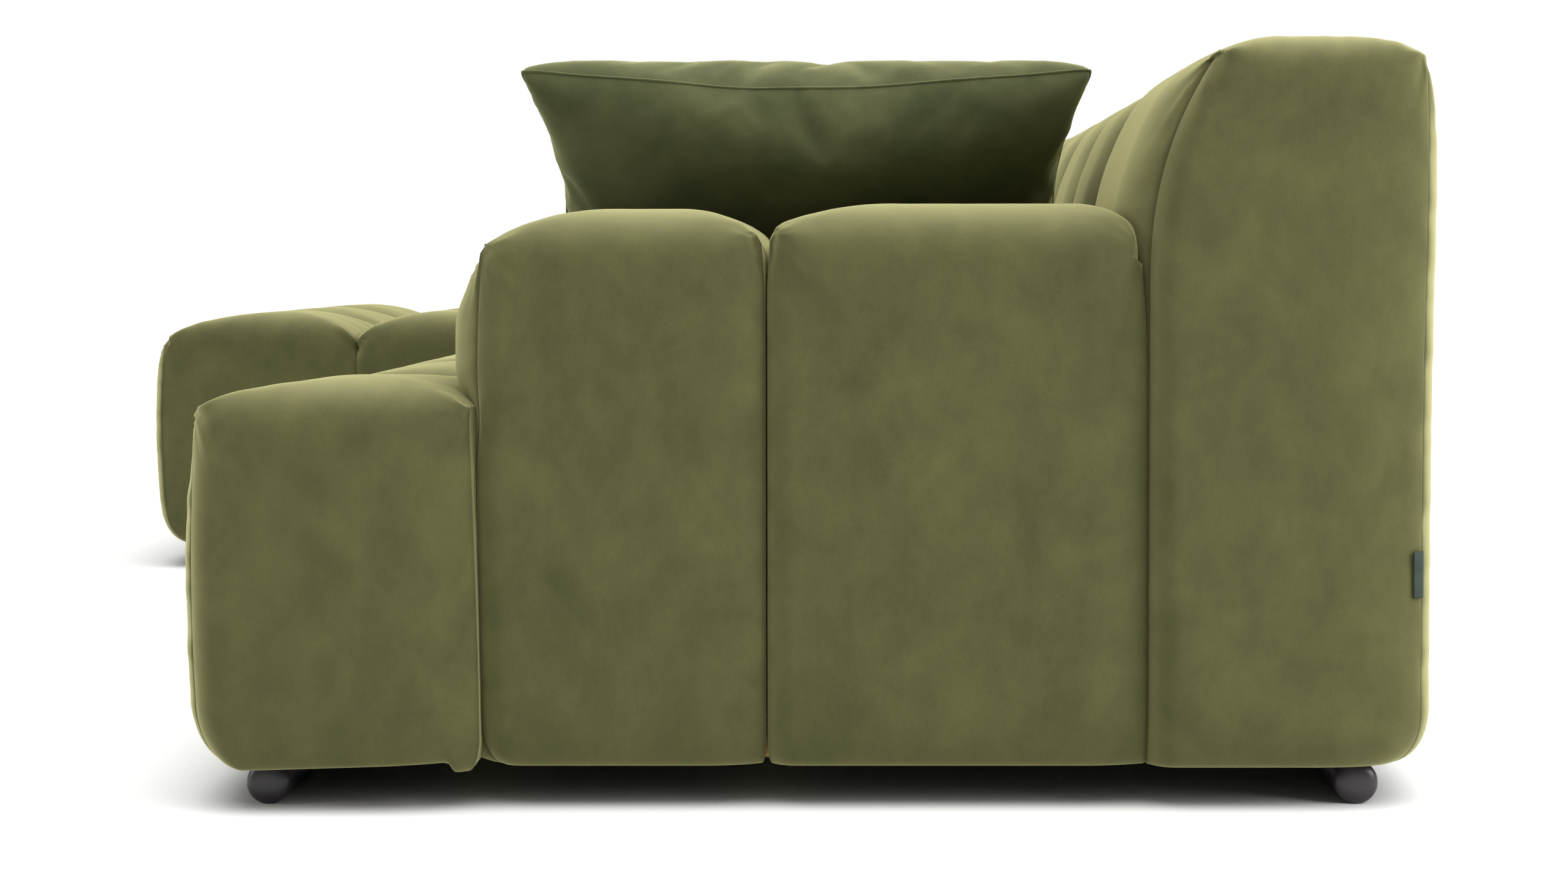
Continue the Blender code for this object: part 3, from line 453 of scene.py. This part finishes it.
            walls[..., axis] += sign * freed * swell(side, x_before, x_after)[i] * on[name]
        if not plain:
            gap = x_gap[i] if axis else y_gap[j]
            folds = gathers(height, gap, seed + axis + sign) + 2 * pucker(gap, below_rim, seed + axis)
            walls[..., axis] += sign * crease * folds * on[name] * np.clip(height / calm_hem, 0, 1)
    seam_gap = np.where(on_faces & on_ends, 0.0, np.where(on_faces, x_gap[i], y_gap[j]))
    sewn_walls = np.broadcast_to(np.clip(1 - seam_gap / seam_half, 0, 1) ** 2, (len(level) + 1, len(i)))
    lap = walls[-1].copy()
    lap[:, 0] += lap_width * (on["left"] * 1.0 - on["right"])
    lap[:, 1] += lap_width * (on["front"] * 1.0 - on["rear"])
    points = np.concatenate([np.stack([x_top, y_top, z], axis=-1).reshape(-1, 3), walls.reshape(-1, 3), lap])
    grid = np.arange(columns * rows).reshape(columns, rows)
    wall_grid = np.arange(grid.size, len(points)).reshape(-1, len(i))
    wall_grid = joined_round(np.concatenate([grid[i, j][None, :], wall_grid]))
    quads = np.concatenate([quads_between(grid), quads_between(wall_grid)])
    return points, quads, np.concatenate([sewn.ravel(), sewn_walls.ravel()])


def folded(points, folds):
    """Presses folds into the side toward the arm end: each a line in Y and Z, a depth and a width.

    A point goes in along X by the depth times a bell curve of its distance from the line, and times one
    minus the square of the way along it, so that a fold is deep at its start and gone at its end.
    """
    side_zone = 0.05
    outer = np.clip(1 - (points[:, 0].max() - points[:, 0]) / side_zone, 0, 1) ** 0.5
    for y0, z0, y1, z1, depth, width in folds:
        along = np.array([y1 - y0, z1 - z0])
        share = np.clip((points[:, 1:] - (y0, z0)) @ along / (along @ along), 0, 1)
        away = np.linalg.norm(points[:, 1:] - (y0, z0) - share[:, None] * along, axis=1)
        points[:, 0] -= depth * np.exp(-(away / width) ** 2) * (1 - share ** 2) * outer
    return points


def eared(points, plane, ears):
    """Draws out the tips of corner seams near a plane across X: each ear is a place in Y and Z and a pull.

    The pull is full at the tip, a third as strong 6 mm away, and gone 30 mm from the plane.
    """
    plane_zone, tip = 0.03, 0.006
    outer = np.clip(1 - np.abs(points[:, 0] - plane) / plane_zone, 0, 1)
    for y, z, pull_y, pull_z in ears:
        near = np.exp(-np.linalg.norm(points[:, 1:] - (y, z), axis=1) / tip) * outer
        points[:, 1:] += near[:, None] * (pull_y, pull_z)
    return points


def upholster(name, body, nodes, points, quads, sewn):
    """Makes a cover from its skin, marks its seams, thickens the cloth, and hides the CAD nodes it stands in
    for.
    """
    seam_shade, cloth_thickness = 0.5, 0.0015
    cover = mesh_piece(name, points, quads.tolist(), velvet, body, "olive_velvet")
    # The seam attribute darkens the velvet along each seam: painted shade in the groove.
    cover.data.attributes.new("seam", 'FLOAT', 'POINT').data.foreach_set("value", seam_shade * sewn)
    cloth = cover.modifiers.new("cloth_thickness", 'SOLIDIFY')
    cloth.thickness = cloth_thickness
    cloth.offset = -1.0
    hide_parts(*nodes)


low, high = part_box("seat_end_cover")
front_room, rear_lap, crown_room = 0.047, 0.004, 0.001
end_seam_x, end_front_seam, end_rear_seam = high.x, low.y + front_room, high.y + rear_lap
points, quads, sewn = padded_block(
    (low.x, end_seam_x), (end_front_seam, end_rear_seam), low.z, high.z - crown_room,
    {"left": dict(PLAIN, reach=0.30, drop=0.024, corners=(0.030, 0.024), power=1.3),
     "right": dict(NEAR_SIDE, reach=0.085, drop=0.052, corners=(0.0245, 0.0235), swell=0.024,
                   swell_reach=0.025, lopsided=0.25, tuck=(0.012, 0.05)),
     "front": {"reach": 0.155, "drop": 0.062, "corners": (0.024, 0.0245), "power": 2.2,
               "corner_reach": 0.15, "corner_power": 1.2, "swell": 0.026, "swell_reach": 0.15,
               "held": 0.15, "freed": 0.12, "bow": 0.008, "tuck": (0.036, 0.058)},
     "rear": dict(PLAIN, reach=0.09, drop=0.032, corners=(0.030, 0.0235), power=1.5,
                  spread=(0.0105, 0.33), tuck=(0.012, 0.03))},
    seed=1.0, pitch=0.0045)
# The hem rises 6 mm toward the rear, and its last 26 mm hang 4 mm low beside the arm, as a tongue.
tongue_width, tongue_edge, tongue_low = 0.026, 0.0012, 0.004
hem_rise, rise_start, rise_length, hem_reach = 0.006, -0.27, 0.2, 0.02
off_tongue = 1 / (1 + np.exp((points[:, 1] - end_rear_seam + tongue_width) / tongue_edge))
rising = tongue_low + hem_rise * np.clip((points[:, 1] - rise_start) / rise_length, 0, 1)
points[:, 2] += (rising * off_tongue - tongue_low) * np.exp(-(points[:, 2] - low.z) / hem_reach)
points = folded(points, [
    (-0.292, 0.366, -0.262, 0.372, 0.0025, 0.006), (-0.296, 0.358, -0.276, 0.330, 0.0020, 0.005),
    (-0.049, 0.366, -0.078, 0.360, 0.0030, 0.006), (-0.049, 0.352, -0.066, 0.318, 0.0020, 0.005)])
points = eared(points, end_seam_x, [
    (end_front_seam, 0.368, -0.0015, 0.0040), (-0.047, 0.369, 0.0015, 0.0030)])
upholster("seat_end_pad", "sofa", ("seat_end_cover",), points, quads, sewn)

# Seat: fifteen stuffed squares in five columns and three rows, one velvet cover sewn down between them,
# with the front of each column rolling over into the channelled front. The rows meet the arm's seams.
low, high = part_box("seat_cover")
arm_low, arm_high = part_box("arm_cover_front")
rear_low, rear_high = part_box("arm_cover_rear")
front_room, column_count = 0.0426, 5
seat_columns = np.linspace(low.x, high.x, column_count + 1)
seat_rows = (low.y + front_room, arm_low.y, rear_low.y, high.y)
seat_edge = dict(PLAIN, reach=0.08, drop=0.03, corners=(0.04, 0.045, 0.045, 0.045))
points, quads, sewn = padded_block(
    seat_columns, seat_rows, low.z, high.z,
    {"left": seat_edge, "right": seat_edge,
     "front": {"reach": 0.16, "drop": 0.085, "corners": (0.045,) * len(seat_columns), "power": 2.0,
               "corner_reach": 0.14, "swell": 0.033, "swell_reach": 0.15, "tuck": (0.036, 0.058)},
     "rear": dict(PLAIN, reach=0.08, drop=0.045, corners=(0.045,) * len(seat_columns))},
    seed=2.0, pitch=0.009, valley=(0.040, 0.085, 2.0))
upholster("seat_pad", "sofa", ("seat_cover", "seat_core"), points, quads, sewn)

# Arm: two padded strips side by side over a board box, each one piece of velvet from the outer side over
# the top to the inner side, with a rounded front panel sewn into the first. Their corners stand apart.
side_room, front_room, crown_room = 0.012, 0.0045, 0.005
seam_x, arm_front_seam = arm_high.x - side_room, arm_low.y + front_room
inner_side = {"reach": 0.075, "drop": 0.06, "swell": 0.0, "swell_reach": 0.03}
points, quads, sewn = padded_block(
    (arm_low.x, seam_x), (arm_front_seam, arm_high.y), arm_low.z, arm_high.z - crown_room,
    {"left": dict(inner_side, corners=(0.033, 0.045)),
     "right": dict(NEAR_SIDE, reach=0.10, drop=0.06, corners=(0.0310, 0.0235)),
     "front": {"reach": 0.115, "drop": 0.072, "corners": (0.030, 0.0310), "power": 2.0,
               "corner_reach": 0.14, "swell": 0.030, "swell_reach": 0.12, "held": 0.2, "freed": 0.045,
               "bow": 0.0055, "spread": (0.005, 0.11), "tuck": (0.018, 0.04)},
     "rear": dict(PLAIN, reach=0.085, drop=0.05, corners=(0.045, 0.0235), power=2.0,
                  spread=(0.007, 0.085), tuck=(0.004, 0.02))},
    seed=3.0, pitch=0.0045)
points = folded(points, [
    (-0.030, 0.519, -0.004, 0.522, 0.0035, 0.007), (-0.030, 0.512, -0.017, 0.484, 0.0025, 0.006),
    (0.213, 0.531, 0.2255, 0.478, 0.0045, 0.0035), (0.205, 0.526, 0.212, 0.490, 0.0020, 0.006)])
points = eared(points, seam_x, [
    (arm_front_seam + 0.005, 0.518, -0.0020, 0.0045),
    (arm_high.y - 0.007, arm_high.z - 0.0345, 0.0, 0.0030)])
# The front panel gives way by 10 mm where it rests on the crown of the seat end.
dent, dent_z, dent_width, proud_full = 0.010, 0.36, 0.03, 0.02
proud = np.clip((arm_front_seam - points[:, 1]) / proud_full, 0, 1)
points[:, 1] += dent * proud * np.exp(-((points[:, 2] - dent_z) / dent_width) ** 2)
upholster("arm_front_pad", "sofa", ("arm_cover_front",), points, quads, sewn)

points, quads, sewn = padded_block(
    (rear_low.x, seam_x), (rear_low.y, rear_high.y), rear_low.z, rear_high.z,
    {"left": dict(inner_side, corners=(0.045, 0.05)),
     "right": dict(NEAR_SIDE, reach=0.10, drop=0.06, corners=(0.024, 0.045)),
     "front": dict(PLAIN, reach=0.12, drop=0.04, corners=(0.045, 0.027), power=2.0,
                   spread=(0.006, 0.085), tuck=(0.004, 0.02)),
     "rear": dict(PLAIN, reach=0.07, drop=0.06, corners=(0.05, 0.045), spread=(0.012, 0.15))},
    seed=4.0, pitch=0.0045)
points = folded(points, [
    (0.2335, 0.533, 0.2265, 0.480, 0.0045, 0.0035), (0.245, 0.525, 0.238, 0.488, 0.0020, 0.006),
    (0.565, 0.500, 0.545, 0.470, 0.0025, 0.007)])
points = eared(points, seam_x, [(rear_low.y + 0.006, rear_high.z - 0.0320, 0.0, 0.0030)])
upholster("arm_rear_pad", "sofa", ("arm_cover_rear",), points, quads, sewn)

# Back: upright padded columns over a foam wedge; each is one strip of velvet from the inner face over the top
# to the rear, and the end panel toward the arm is sewn in along its front and rear edges.
# The inner face leans back toward the top.
back_low, back_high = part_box("back_cover")
rear_room, crown_room = 0.045, 0.002
back_rear_seam = back_high.y - rear_room
back_seams = (back_low.y, back_rear_seam)
back_columns = (*seat_columns[:-1], arm_low.x, seam_x)
back_valley = (0.036, 0.09, 2.0)
back_front = {"reach": 0.09, "drop": 0.06, "swell": 0.030, "swell_reach": 0.09}
back_rear = {"reach": 0.155, "drop": 0.055, "power": 3.2, "swell": 0.028, "swell_reach": 0.14,
             "held": 0.6, "bow": 0.004, "skew": 5.0, "tuck": (0.03, 0.045)}
inner_corners = (0.03,) * (len(back_columns) - 1)


def leaning(points):
    """Moves the front of the back rearward with height: 63 mm at the top, as the 2.4th power from 0.48 m up.

    The shift shares out evenly from the full value at the front to nothing at the rear seam.
    """
    lean, lean_from, lean_height, most_rise, most_share = 0.0633, 0.48, 0.2208, 1.06, 1.12
    rise = np.clip((points[:, 2] - lean_from) / lean_height, 0, most_rise) ** 2.4
    share = np.clip((back_rear_seam - points[:, 1]) / (back_rear_seam - back_low.y), 0, most_share)
    return points + np.stack([0 * rise, lean * rise * share, 0 * rise], axis=-1)


points, quads, sewn = padded_block(
    back_columns, back_seams, back_low.z, back_high.z - crown_room,
    {"left": dict(PLAIN, reach=0.07, drop=0.03, corners=(0.03, 0.03)),
     "right": dict(NEAR_SIDE, reach=0.07, drop=0.045, corners=(0.014, 0.023), swell=0.024,
                   swell_reach=0.025, lopsided=0.25),
     "front": dict(back_front, corners=inner_corners + (0.014,), corner_reach=0.06),
     "rear": dict(back_rear, corners=inner_corners + (0.023,))},
    seed=5.0, pitch=0.007, valley=back_valley)
# The columns along the seat are stuffed less than the one at the arm, and end 9 mm lower.
settled, settle_edge, settle_from, settle_height = 0.009, 0.004, 0.5, 0.2
along_seat = 1 / (1 + np.exp((points[:, 0] - arm_low.x) / settle_edge))
points[:, 2] -= settled * along_seat * np.clip((points[:, 2] - settle_from) / settle_height, 0, 1)
points = folded(leaning(points), [
    (0.640, 0.697, 0.664, 0.676, 0.0035, 0.009), (0.637, 0.688, 0.642, 0.640, 0.0025, 0.008),
    (0.829, 0.690, 0.826, 0.655, 0.0030, 0.006)])
points = eared(points, seam_x, [(0.830, 0.689, 0.0010, 0.0040)])
upholster("back_pad", "sofa", ("back_cover", "back_core"), points, quads, sewn)

# Blank tab: a short piece of dark green woven tape sewn into the back's rear seam, low down at the arm end.
# The ribs of its weave are about 1 mm apart, drawn here as soft bands 25 mm wide so that they show.
weave_mm = 25.13
tab_low, tab_height, tab_width, tab_bulge, tape_gauge = 0.197, 0.043, 0.0095, 0.007, 0.0016
tab_proud, tab_inset, tab_rows, tab_steps = 0.002, 0.0445, 9, 21
tape, tree, shader, place = new_finish("woven_tape", Roughness=0.75, IOR=1.45)
weave = node(tree, "ShaderNodeTexWave", {
    "Vector": place, "Scale": MM_PER_M / weave_mm / WAVES_PER_M}, bands_direction='Z')
thread = node(tree, "ShaderNodeValToRGB", {"Fac": weave.outputs["Fac"]})
thread.color_ramp.elements[0].color = hex_colour("#28342A")
thread.color_ramp.elements[1].color = hex_colour("#2F3C30")
tree.links.new(thread.outputs["Color"], shader.inputs["Base Color"])
u, v = np.meshgrid(np.linspace(0, 1, tab_rows), np.linspace(0, 1, tab_steps), indexing='ij')
tab_points = np.stack([seam_x + tab_proud + tab_bulge * np.sqrt(u), back_high.y - tab_inset - tab_width * u,
                       tab_low + tab_height * v], axis=-1)
tab_quads = quads_between(np.arange(u.size).reshape(u.shape))[:, ::-1]
tab = mesh_piece("blank_tab", tab_points, tab_quads.tolist(), tape, "sofa", "lining_cloth")
tape_thickness = tab.modifiers.new("tape_thickness", 'SOLIDIFY')
tape_thickness.thickness = tape_gauge
tape_thickness.offset = 1.0

# Chaise: twelve stuffed squares of the same velvet, three columns by four rows, sewn down between them,
# on a base that reaches further forward than the seat. It hooks on to the sofa's end.
low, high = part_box("chaise_cover")
outer_room, inner_room, front_room, first_row, crown_lift = 0.012, 0.004, 0.0526, 0.359, 0.003
column_count, row_count = 3, 4
chaise_seams = np.linspace(low.x, high.x, column_count + 1)
chaise_columns = (low.x + outer_room, *chaise_seams[1:-1], high.x - inner_room)
chaise_rows = (low.y + front_room, *np.linspace(low.y + first_row, high.y, row_count))
chaise_edge = {"reach": 0.09, "drop": 0.06, "corners": (0.042, 0.05, 0.05, 0.05, 0.05), "corner_reach": 0.14,
               "corner_power": 1.6, "swell": 0.014, "swell_reach": 0.04, "tuck": (0.012, 0.03)}
points, quads, sewn = padded_block(
    chaise_columns, chaise_rows, low.z, high.z + crown_lift,
    {"left": chaise_edge, "right": dict(chaise_edge, swell=0.004),
     "front": {"reach": 0.198, "drop": 0.056, "corners": (0.042, 0.045, 0.045, 0.042), "power": 2.0,
               "corner_reach": 0.14, "swell": 0.034, "swell_reach": 0.15, "held": 0.5, "bow": 0.014,
               "tuck": (0.036, 0.058)},
     "rear": dict(PLAIN, reach=0.08, drop=0.045, corners=(0.045,) * len(chaise_columns))},
    seed=6.0, pitch=0.009, valley=(0.046, 0.125, 1.7))
points = folded(points, [
    (-0.5155, 0.362, -0.552, 0.392, 0.008, 0.007), (-0.5140, 0.366, -0.486, 0.398, 0.008, 0.007),
    (-0.5155, 0.355, -0.545, 0.322, 0.005, 0.008)])
upholster("chaise_pad", "chaise", ("chaise_cover", "chaise_core"), points, quads, sewn)

# Chaise back: three more padded velvet columns of the same pattern as the sofa's back,
# stretched over a foam wedge on the chaise's own frame.
low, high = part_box("chaise_back_cover")
crown_room = 0.002
inner_corners = (0.03,) * column_count
points, quads, sewn = padded_block(
    (low.x + outer_room, *np.linspace(low.x, high.x, column_count + 1)[1:]), back_seams,
    low.z, high.z - crown_room,
    {"left": dict(NEAR_SIDE, reach=0.07, drop=0.045, corners=(0.014, 0.019)),
     "right": dict(PLAIN, reach=0.07, drop=0.03, corners=(0.03, 0.03)),
     "front": dict(back_front, corners=(0.014,) + inner_corners),
     "rear": dict(back_rear, corners=(0.019,) + inner_corners)},
    seed=7.0, pitch=0.009, valley=back_valley)
upholster("chaise_back_pad", "chaise", ("chaise_back_cover", "chaise_back_core"),
          leaning(points), quads, sewn)

# Loose cushion: two rectangles of a darker moss velvet sewn together and stuffed with loose fibre.
# It stands on the seat and leans over toward the arm. Its short pile is brushed into clouds about 80 mm
# wide, with tips drawn at about 2 mm as on the olive velvet.
cloud_mm = 80.0
moss, tree, shader, place = new_finish(
    "moss_velvet", Roughness=0.8, IOR=1.4, Specular_IOR_Level=0.15,
    Sheen_Weight=0.55, Sheen_Roughness=0.4, Sheen_Tint=hex_colour("#A8A872"))
cloud = node(tree, "ShaderNodeTexNoise", {
    "Vector": place, "Scale": MM_PER_M / cloud_mm, "Detail": 3.0, "Roughness": 0.6})
tips = node(tree, "ShaderNodeTexNoise", {"Vector": place, "Scale": MM_PER_M / tips_mm, "Detail": 2.0})
pile = node(tree, "ShaderNodeMath", {0: tips.outputs["Fac"], 1: 0.2, 2: cloud.outputs["Fac"]},
            operation='MULTIPLY_ADD')
nap = node(tree, "ShaderNodeValToRGB", {"Fac": pile.outputs[0]})
nap.color_ramp.elements[0].position = 0.35
nap.color_ramp.elements[0].color = hex_colour("#3F472D")
nap.color_ramp.elements[1].position = 0.8
nap.color_ramp.elements[1].color = hex_colour("#5F6040")
# Painted sheen, as on the olive velvet: the colour goes toward pale green-olive where a face turns edge-on.
edge_on = node(tree, "ShaderNodeLayerWeight", {"Blend": 0.35})
painted_sheen_share = node(tree, "ShaderNodeMath", {0: edge_on.outputs["Facing"], 1: 2.0}, operation='POWER')
painted_sheen_colour = node(tree, "ShaderNodeMix", {0: painted_sheen_share.outputs[0], 6: nap.outputs["Color"], 7: hex_colour("#AAAB7E")},
           data_type='RGBA')
tree.links.new(painted_sheen_colour.outputs[2], shader.inputs["Base Color"])
fur = node(tree, "ShaderNodeBump", {"Height": tips.outputs["Fac"], "Strength": 0.25, "Distance": 0.0008})
tree.links.new(fur.outputs["Normal"], shader.inputs["Normal"])

half_long, half_short, half_thick = 0.300, 0.2125, 0.078
cut_long, cut_short, first_rise, wave_height = 0.335, 0.225, 0.03, 0.0012
steps_long, steps_short = 121, 81
case_low, case_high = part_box("cushion_case")
u, v = np.meshgrid(np.linspace(-1, 1, steps_long), np.linspace(-1, 1, steps_short), indexing='ij')
inner = np.zeros(u.shape, bool)
inner[1:-1, 1:-1] = True
front_index = np.arange(u.size).reshape(u.shape)
rear_index = front_index.copy()
rear_index[inner] = u.size + np.arange(inner.sum())
edge_loop = np.concatenate([front_index[:-1, 0], front_index[-1, :-1], front_index[:0:-1, -1],
                            front_index[0, :0:-1]])
corner_steps = np.cumsum([0, steps_long - 1, steps_short - 1, steps_long - 1])
case_quads = np.concatenate([quads_between(front_index), quads_between(rear_index)[:, ::-1]])


def both_faces(sheet):
    """Points of a closed case from those of its front sheet, mirrored for the rear; they share the edge."""
    return np.concatenate([sheet.reshape(-1, 3), (sheet * (1, 1, -1))[inner]])


def inflate(points, quads, pressure, frames):
    """Cloth simulation of a closed case under inside pressure, without weight: the last frame's points."""
    mesh = bpy.data.meshes.new("case")
    mesh.from_pydata(points.tolist(), [], quads.tolist())
    case = placed("case", mesh)
    cloth = case.modifiers.new("cloth", 'CLOTH')
    cloth.point_cache.frame_end = frames
    cloth.settings.quality = 8
    cloth.settings.mass = 0.3
    cloth.settings.tension_stiffness = 30.0
    cloth.settings.compression_stiffness = 30.0
    cloth.settings.shear_stiffness = 10.0
    cloth.settings.bending_stiffness = 0.4
    cloth.settings.air_damping = 4.0
    cloth.settings.use_pressure = True
    cloth.settings.uniform_pressure_force = pressure
    cloth.settings.effector_weights.gravity = 0.0
    cloth.collision_settings.use_collision = False
    for number in range(1, frames + 1):
        bpy.context.scene.frame_set(number)
    seen = case.evaluated_get(bpy.context.evaluated_depsgraph_get()).data
    moved = np.empty(len(points) * 3)
    seen.vertices.foreach_get("co", moved)
    bpy.data.objects.remove(case)
    bpy.context.scene.frame_set(1)
    return moved.reshape(-1, 3)


def even_edge(points):
    """Evens out the sewn edge and rounds its corners: a bell-curve mean along the edge, 2 grid steps wide at
    a corner and 7 elsewhere; what moves an edge point moves the cloth beside it, a third as far 25 mm in."""
    corner_width, more_width, corner_zone, pull = 2.0, 5.0, 25, 0.025
    offsets = np.arange(-18, 19)
    edge = points[edge_loop]
    step, half = np.arange(len(edge)), len(edge) / 2
    to_corner = np.min(np.abs((step[:, None] - corner_steps + half) % len(edge) - half), axis=1)
    width = corner_width + more_width * np.clip(to_corner / corner_zone, 0, 1)
    weight = np.exp(-(offsets / width[:, None]) ** 2 / 2)
    weight /= weight.sum(1, keepdims=True)
    mean = np.einsum('no,nok->nk', weight, edge[(step[:, None] + offsets) % len(edge)])
    moved = np.zeros((u.size, 3))
    moved[edge_loop] = mean - edge
    moved = moved.reshape(*u.shape, 3)
    across = (moved[:, -1:] * np.exp(-half_short * (1 - v) / pull)[..., None]
              + moved[:, :1] * np.exp(-half_short * (1 + v) / pull)[..., None])
    across += ((moved[-1:] - across[-1:]) * np.exp(-half_long * (1 - u) / pull)[..., None]
               + (moved[:1] - across[:1]) * np.exp(-half_long * (1 + u) / pull)[..., None])
    return points + np.concatenate([across.reshape(-1, 3), across[inner]])


def softened(points, width, reach=8):
    """Softens the creases of both faces: half of the way to a bell-curve mean, width grid steps wide, along
    each direction of the grid; the sewn edge is mirrored through itself and so stays where it is."""
    offsets = np.arange(-reach, reach + 1)
    weight = np.exp(-(offsets / width) ** 2 / 2)
    weight /= weight.sum()
    moved = points.copy()
    for face in (front_index, rear_index):
        mean = points[face]
        for axis in (0, 1):
            mean = np.moveaxis(mean, axis, 0)
            wide = np.pad(mean, ((reach, reach), (0, 0), (0, 0)), mode='reflect', reflect_type='odd')
            shifted = np.stack([wide[n:n + len(mean)] for n in range(len(offsets))])
            mean = np.moveaxis(np.sum(weight[:, None, None, None] * shifted, axis=0), 0, axis)
        moved[face] = points[face] + 0.5 * (mean - points[face])
    return moved


dome = np.clip((1 - u ** 2) * (1 - v ** 2), 0, 1)
waves = wave_height * np.sin(23 * u + 5 * v) * (1 - v ** 2)
flat = both_faces(np.stack([cut_long * u, cut_short * v, first_rise * dome ** 0.5 + waves], axis=-1))
stuffed = inflate(flat, case_quads, pressure=5.0, frames=24)
stuffed = softened(even_edge(stuffed), width=2.0)
# The stuffed case is brought to its size, drawn in a little along its long sides, and filled out.
drawn_in, fullness = 0.04, 0.75
stuffed = stuffed - (stuffed.max(0) + stuffed.min(0)) / 2
stuffed = stuffed / stuffed.max(0) * (half_long, half_short, half_thick)
stuffed[:, 0] *= 1 - drawn_in * np.clip(1 - (stuffed[:, 1] / half_short) ** 2, 0, 1)
stuffed[:, 2] = half_thick * np.sign(stuffed[:, 2]) * np.abs(stuffed[:, 2] / half_thick) ** fullness
# It leans back by the tilt, and its weight bends it: the slope changes evenly from its foot to its top.
tilt, bend = np.radians(38.0), np.radians(20.0)
shift_x, shift_z = -0.0264, 0.026
slope = tilt + bend * stuffed[:, 1] / half_short
reach_x = (np.cos(tilt) - np.cos(slope)) / bend * half_short + shift_x
reach_z = (np.sin(slope) - np.sin(tilt)) / bend * half_short + shift_z
middle = (np.array(case_low) + np.array(case_high)) / 2
case_points = middle + np.stack([reach_x + stuffed[:, 2] * np.cos(slope), stuffed[:, 0],
                                 reach_z - stuffed[:, 2] * np.sin(slope)], axis=-1)
pillow = mesh_piece("loose_cushion", case_points, case_quads.tolist(), moss, "cushion", "moss_velvet")
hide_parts("cushion_case", "cushion_filling")

# Cushion edge: the seam of the two velvet rectangles, sewn inside out and turned.
# It stands as a ridge about 3 mm thick all round.
ridge_radius, ridge_sides = 0.0016, 8
rim_line = case_points[edge_loop]
ahead = np.roll(rim_line, -2, axis=0) - np.roll(rim_line, 2, axis=0)
ahead /= np.linalg.norm(ahead, axis=1)[:, None]
outward = rim_line - middle
outward -= np.sum(outward * ahead, axis=1)[:, None] * ahead
outward /= np.linalg.norm(outward, axis=1)[:, None]
angle = np.linspace(0, 2 * np.pi, ridge_sides + 1)[:-1, None, None]
ridge_points = rim_line + ridge_radius * (np.cos(angle) * outward + np.sin(angle) * np.cross(ahead, outward))
ridge_index = np.arange(ridge_sides * len(rim_line)).reshape(ridge_sides, -1)
ridge_quads = quads_between(np.pad(ridge_index, ((0, 1), (0, 1)), mode='wrap').T)
mesh_piece("cushion_edge", ridge_points, ridge_quads.tolist(), moss, "cushion", "moss_velvet")

# Floor, light and camera: a wide plain floor, one broad soft light from nearly straight above, a lamp off to
# each side, a weak even fill, and a camera at the height of the arm, looking at the arm end.
# The floor is white to the eye, and grey to the light it throws back, so that the faces keep their depth.
floor_size = 120.0
paper, tree, shader, place = new_finish("plain_floor", Roughness=0.9, Specular_IOR_Level=0.0)
ray = node(tree, "ShaderNodeLightPath")
looked_at = node(tree, "ShaderNodeMath", {0: ray.outputs["Is Camera Ray"], 1: ray.outputs["Is Glossy Ray"]},
                 operation='MAXIMUM')
tint = node(tree, "ShaderNodeMix", {
    0: looked_at.outputs[0], 6: hex_colour("#EAEAEA"), 7: hex_colour("#F9F9F9")}, data_type='RGBA')
tree.links.new(tint.outputs[2], shader.inputs["Base Color"])
bpy.ops.mesh.primitive_grid_add(size=floor_size, x_subdivisions=2, y_subdivisions=2)
floor = bpy.context.object
floor.name = "floor"
floor.data.materials.append(paper)

fill_strength = 0.16
world = bpy.data.worlds.new("studio")
bpy.context.scene.world = world
world.use_nodes = True
tree = world.node_tree
backdrop = tree.nodes["Background"]
backdrop.inputs["Color"].default_value = hex_colour("#FFFFFF")
ray = node(tree, "ShaderNodeLightPath")
strength = node(tree, "ShaderNodeMath", {
    0: ray.outputs["Is Camera Ray"], 1: 1 - fill_strength, 2: fill_strength}, operation='MULTIPLY_ADD')
tree.links.new(strength.outputs[0], backdrop.inputs["Strength"])

overhead_data = bpy.data.lights.new("overhead", 'SUN')
overhead_data.energy = 3.9
overhead_data.angle = np.radians(80.0)
overhead = placed("overhead", overhead_data)
overhead.rotation_euler = (np.radians(-6.0), np.radians(6.0), 0.0)

lamp_aim = Vector((1.2, 0.0, 0.35))
for name, power, stand in (("right_lamp", 50.0, Vector((2.4, 3.0, 1.2))),
                           ("left_lamp", 30.0, Vector((1.9, -3.6, 1.2)))):
    lamp_data = bpy.data.lights.new(name, 'AREA')
    lamp_data.energy = power
    lamp_data.shape = 'DISK'
    lamp_data.size = 1.6
    lamp = placed(name, lamp_data)
    lamp.location = stand
    lamp.rotation_euler = (lamp_aim - stand).to_track_quat('-Z', 'Y').to_euler()

# The lens and shifts are in pixels of the 2560 pixel wide picture; the camera looks 2 degrees down.
picture_width, focal_length, shift_across, shift_down = 2560.0, 4260.0, 120.0, 295.0
look_down, camera_distance = np.radians(2.0), 2.4
camera_data = bpy.data.cameras.new("camera")
camera_data.sensor_width = 36.0
camera_data.lens = focal_length / picture_width * camera_data.sensor_width
camera_data.shift_x = -shift_across / picture_width
camera_data.shift_y = -(shift_down - np.tan(look_down) * focal_length) / picture_width
camera_data.clip_end = 100.0
camera = placed("camera", camera_data)
camera.location = (seam_x + camera_distance, 0.310, 0.508)
camera.rotation_euler = (np.radians(90.0) - look_down, 0.0, np.radians(90.0))
bpy.context.scene.camera = camera
bpy.context.scene.view_settings.view_transform = 'Standard'
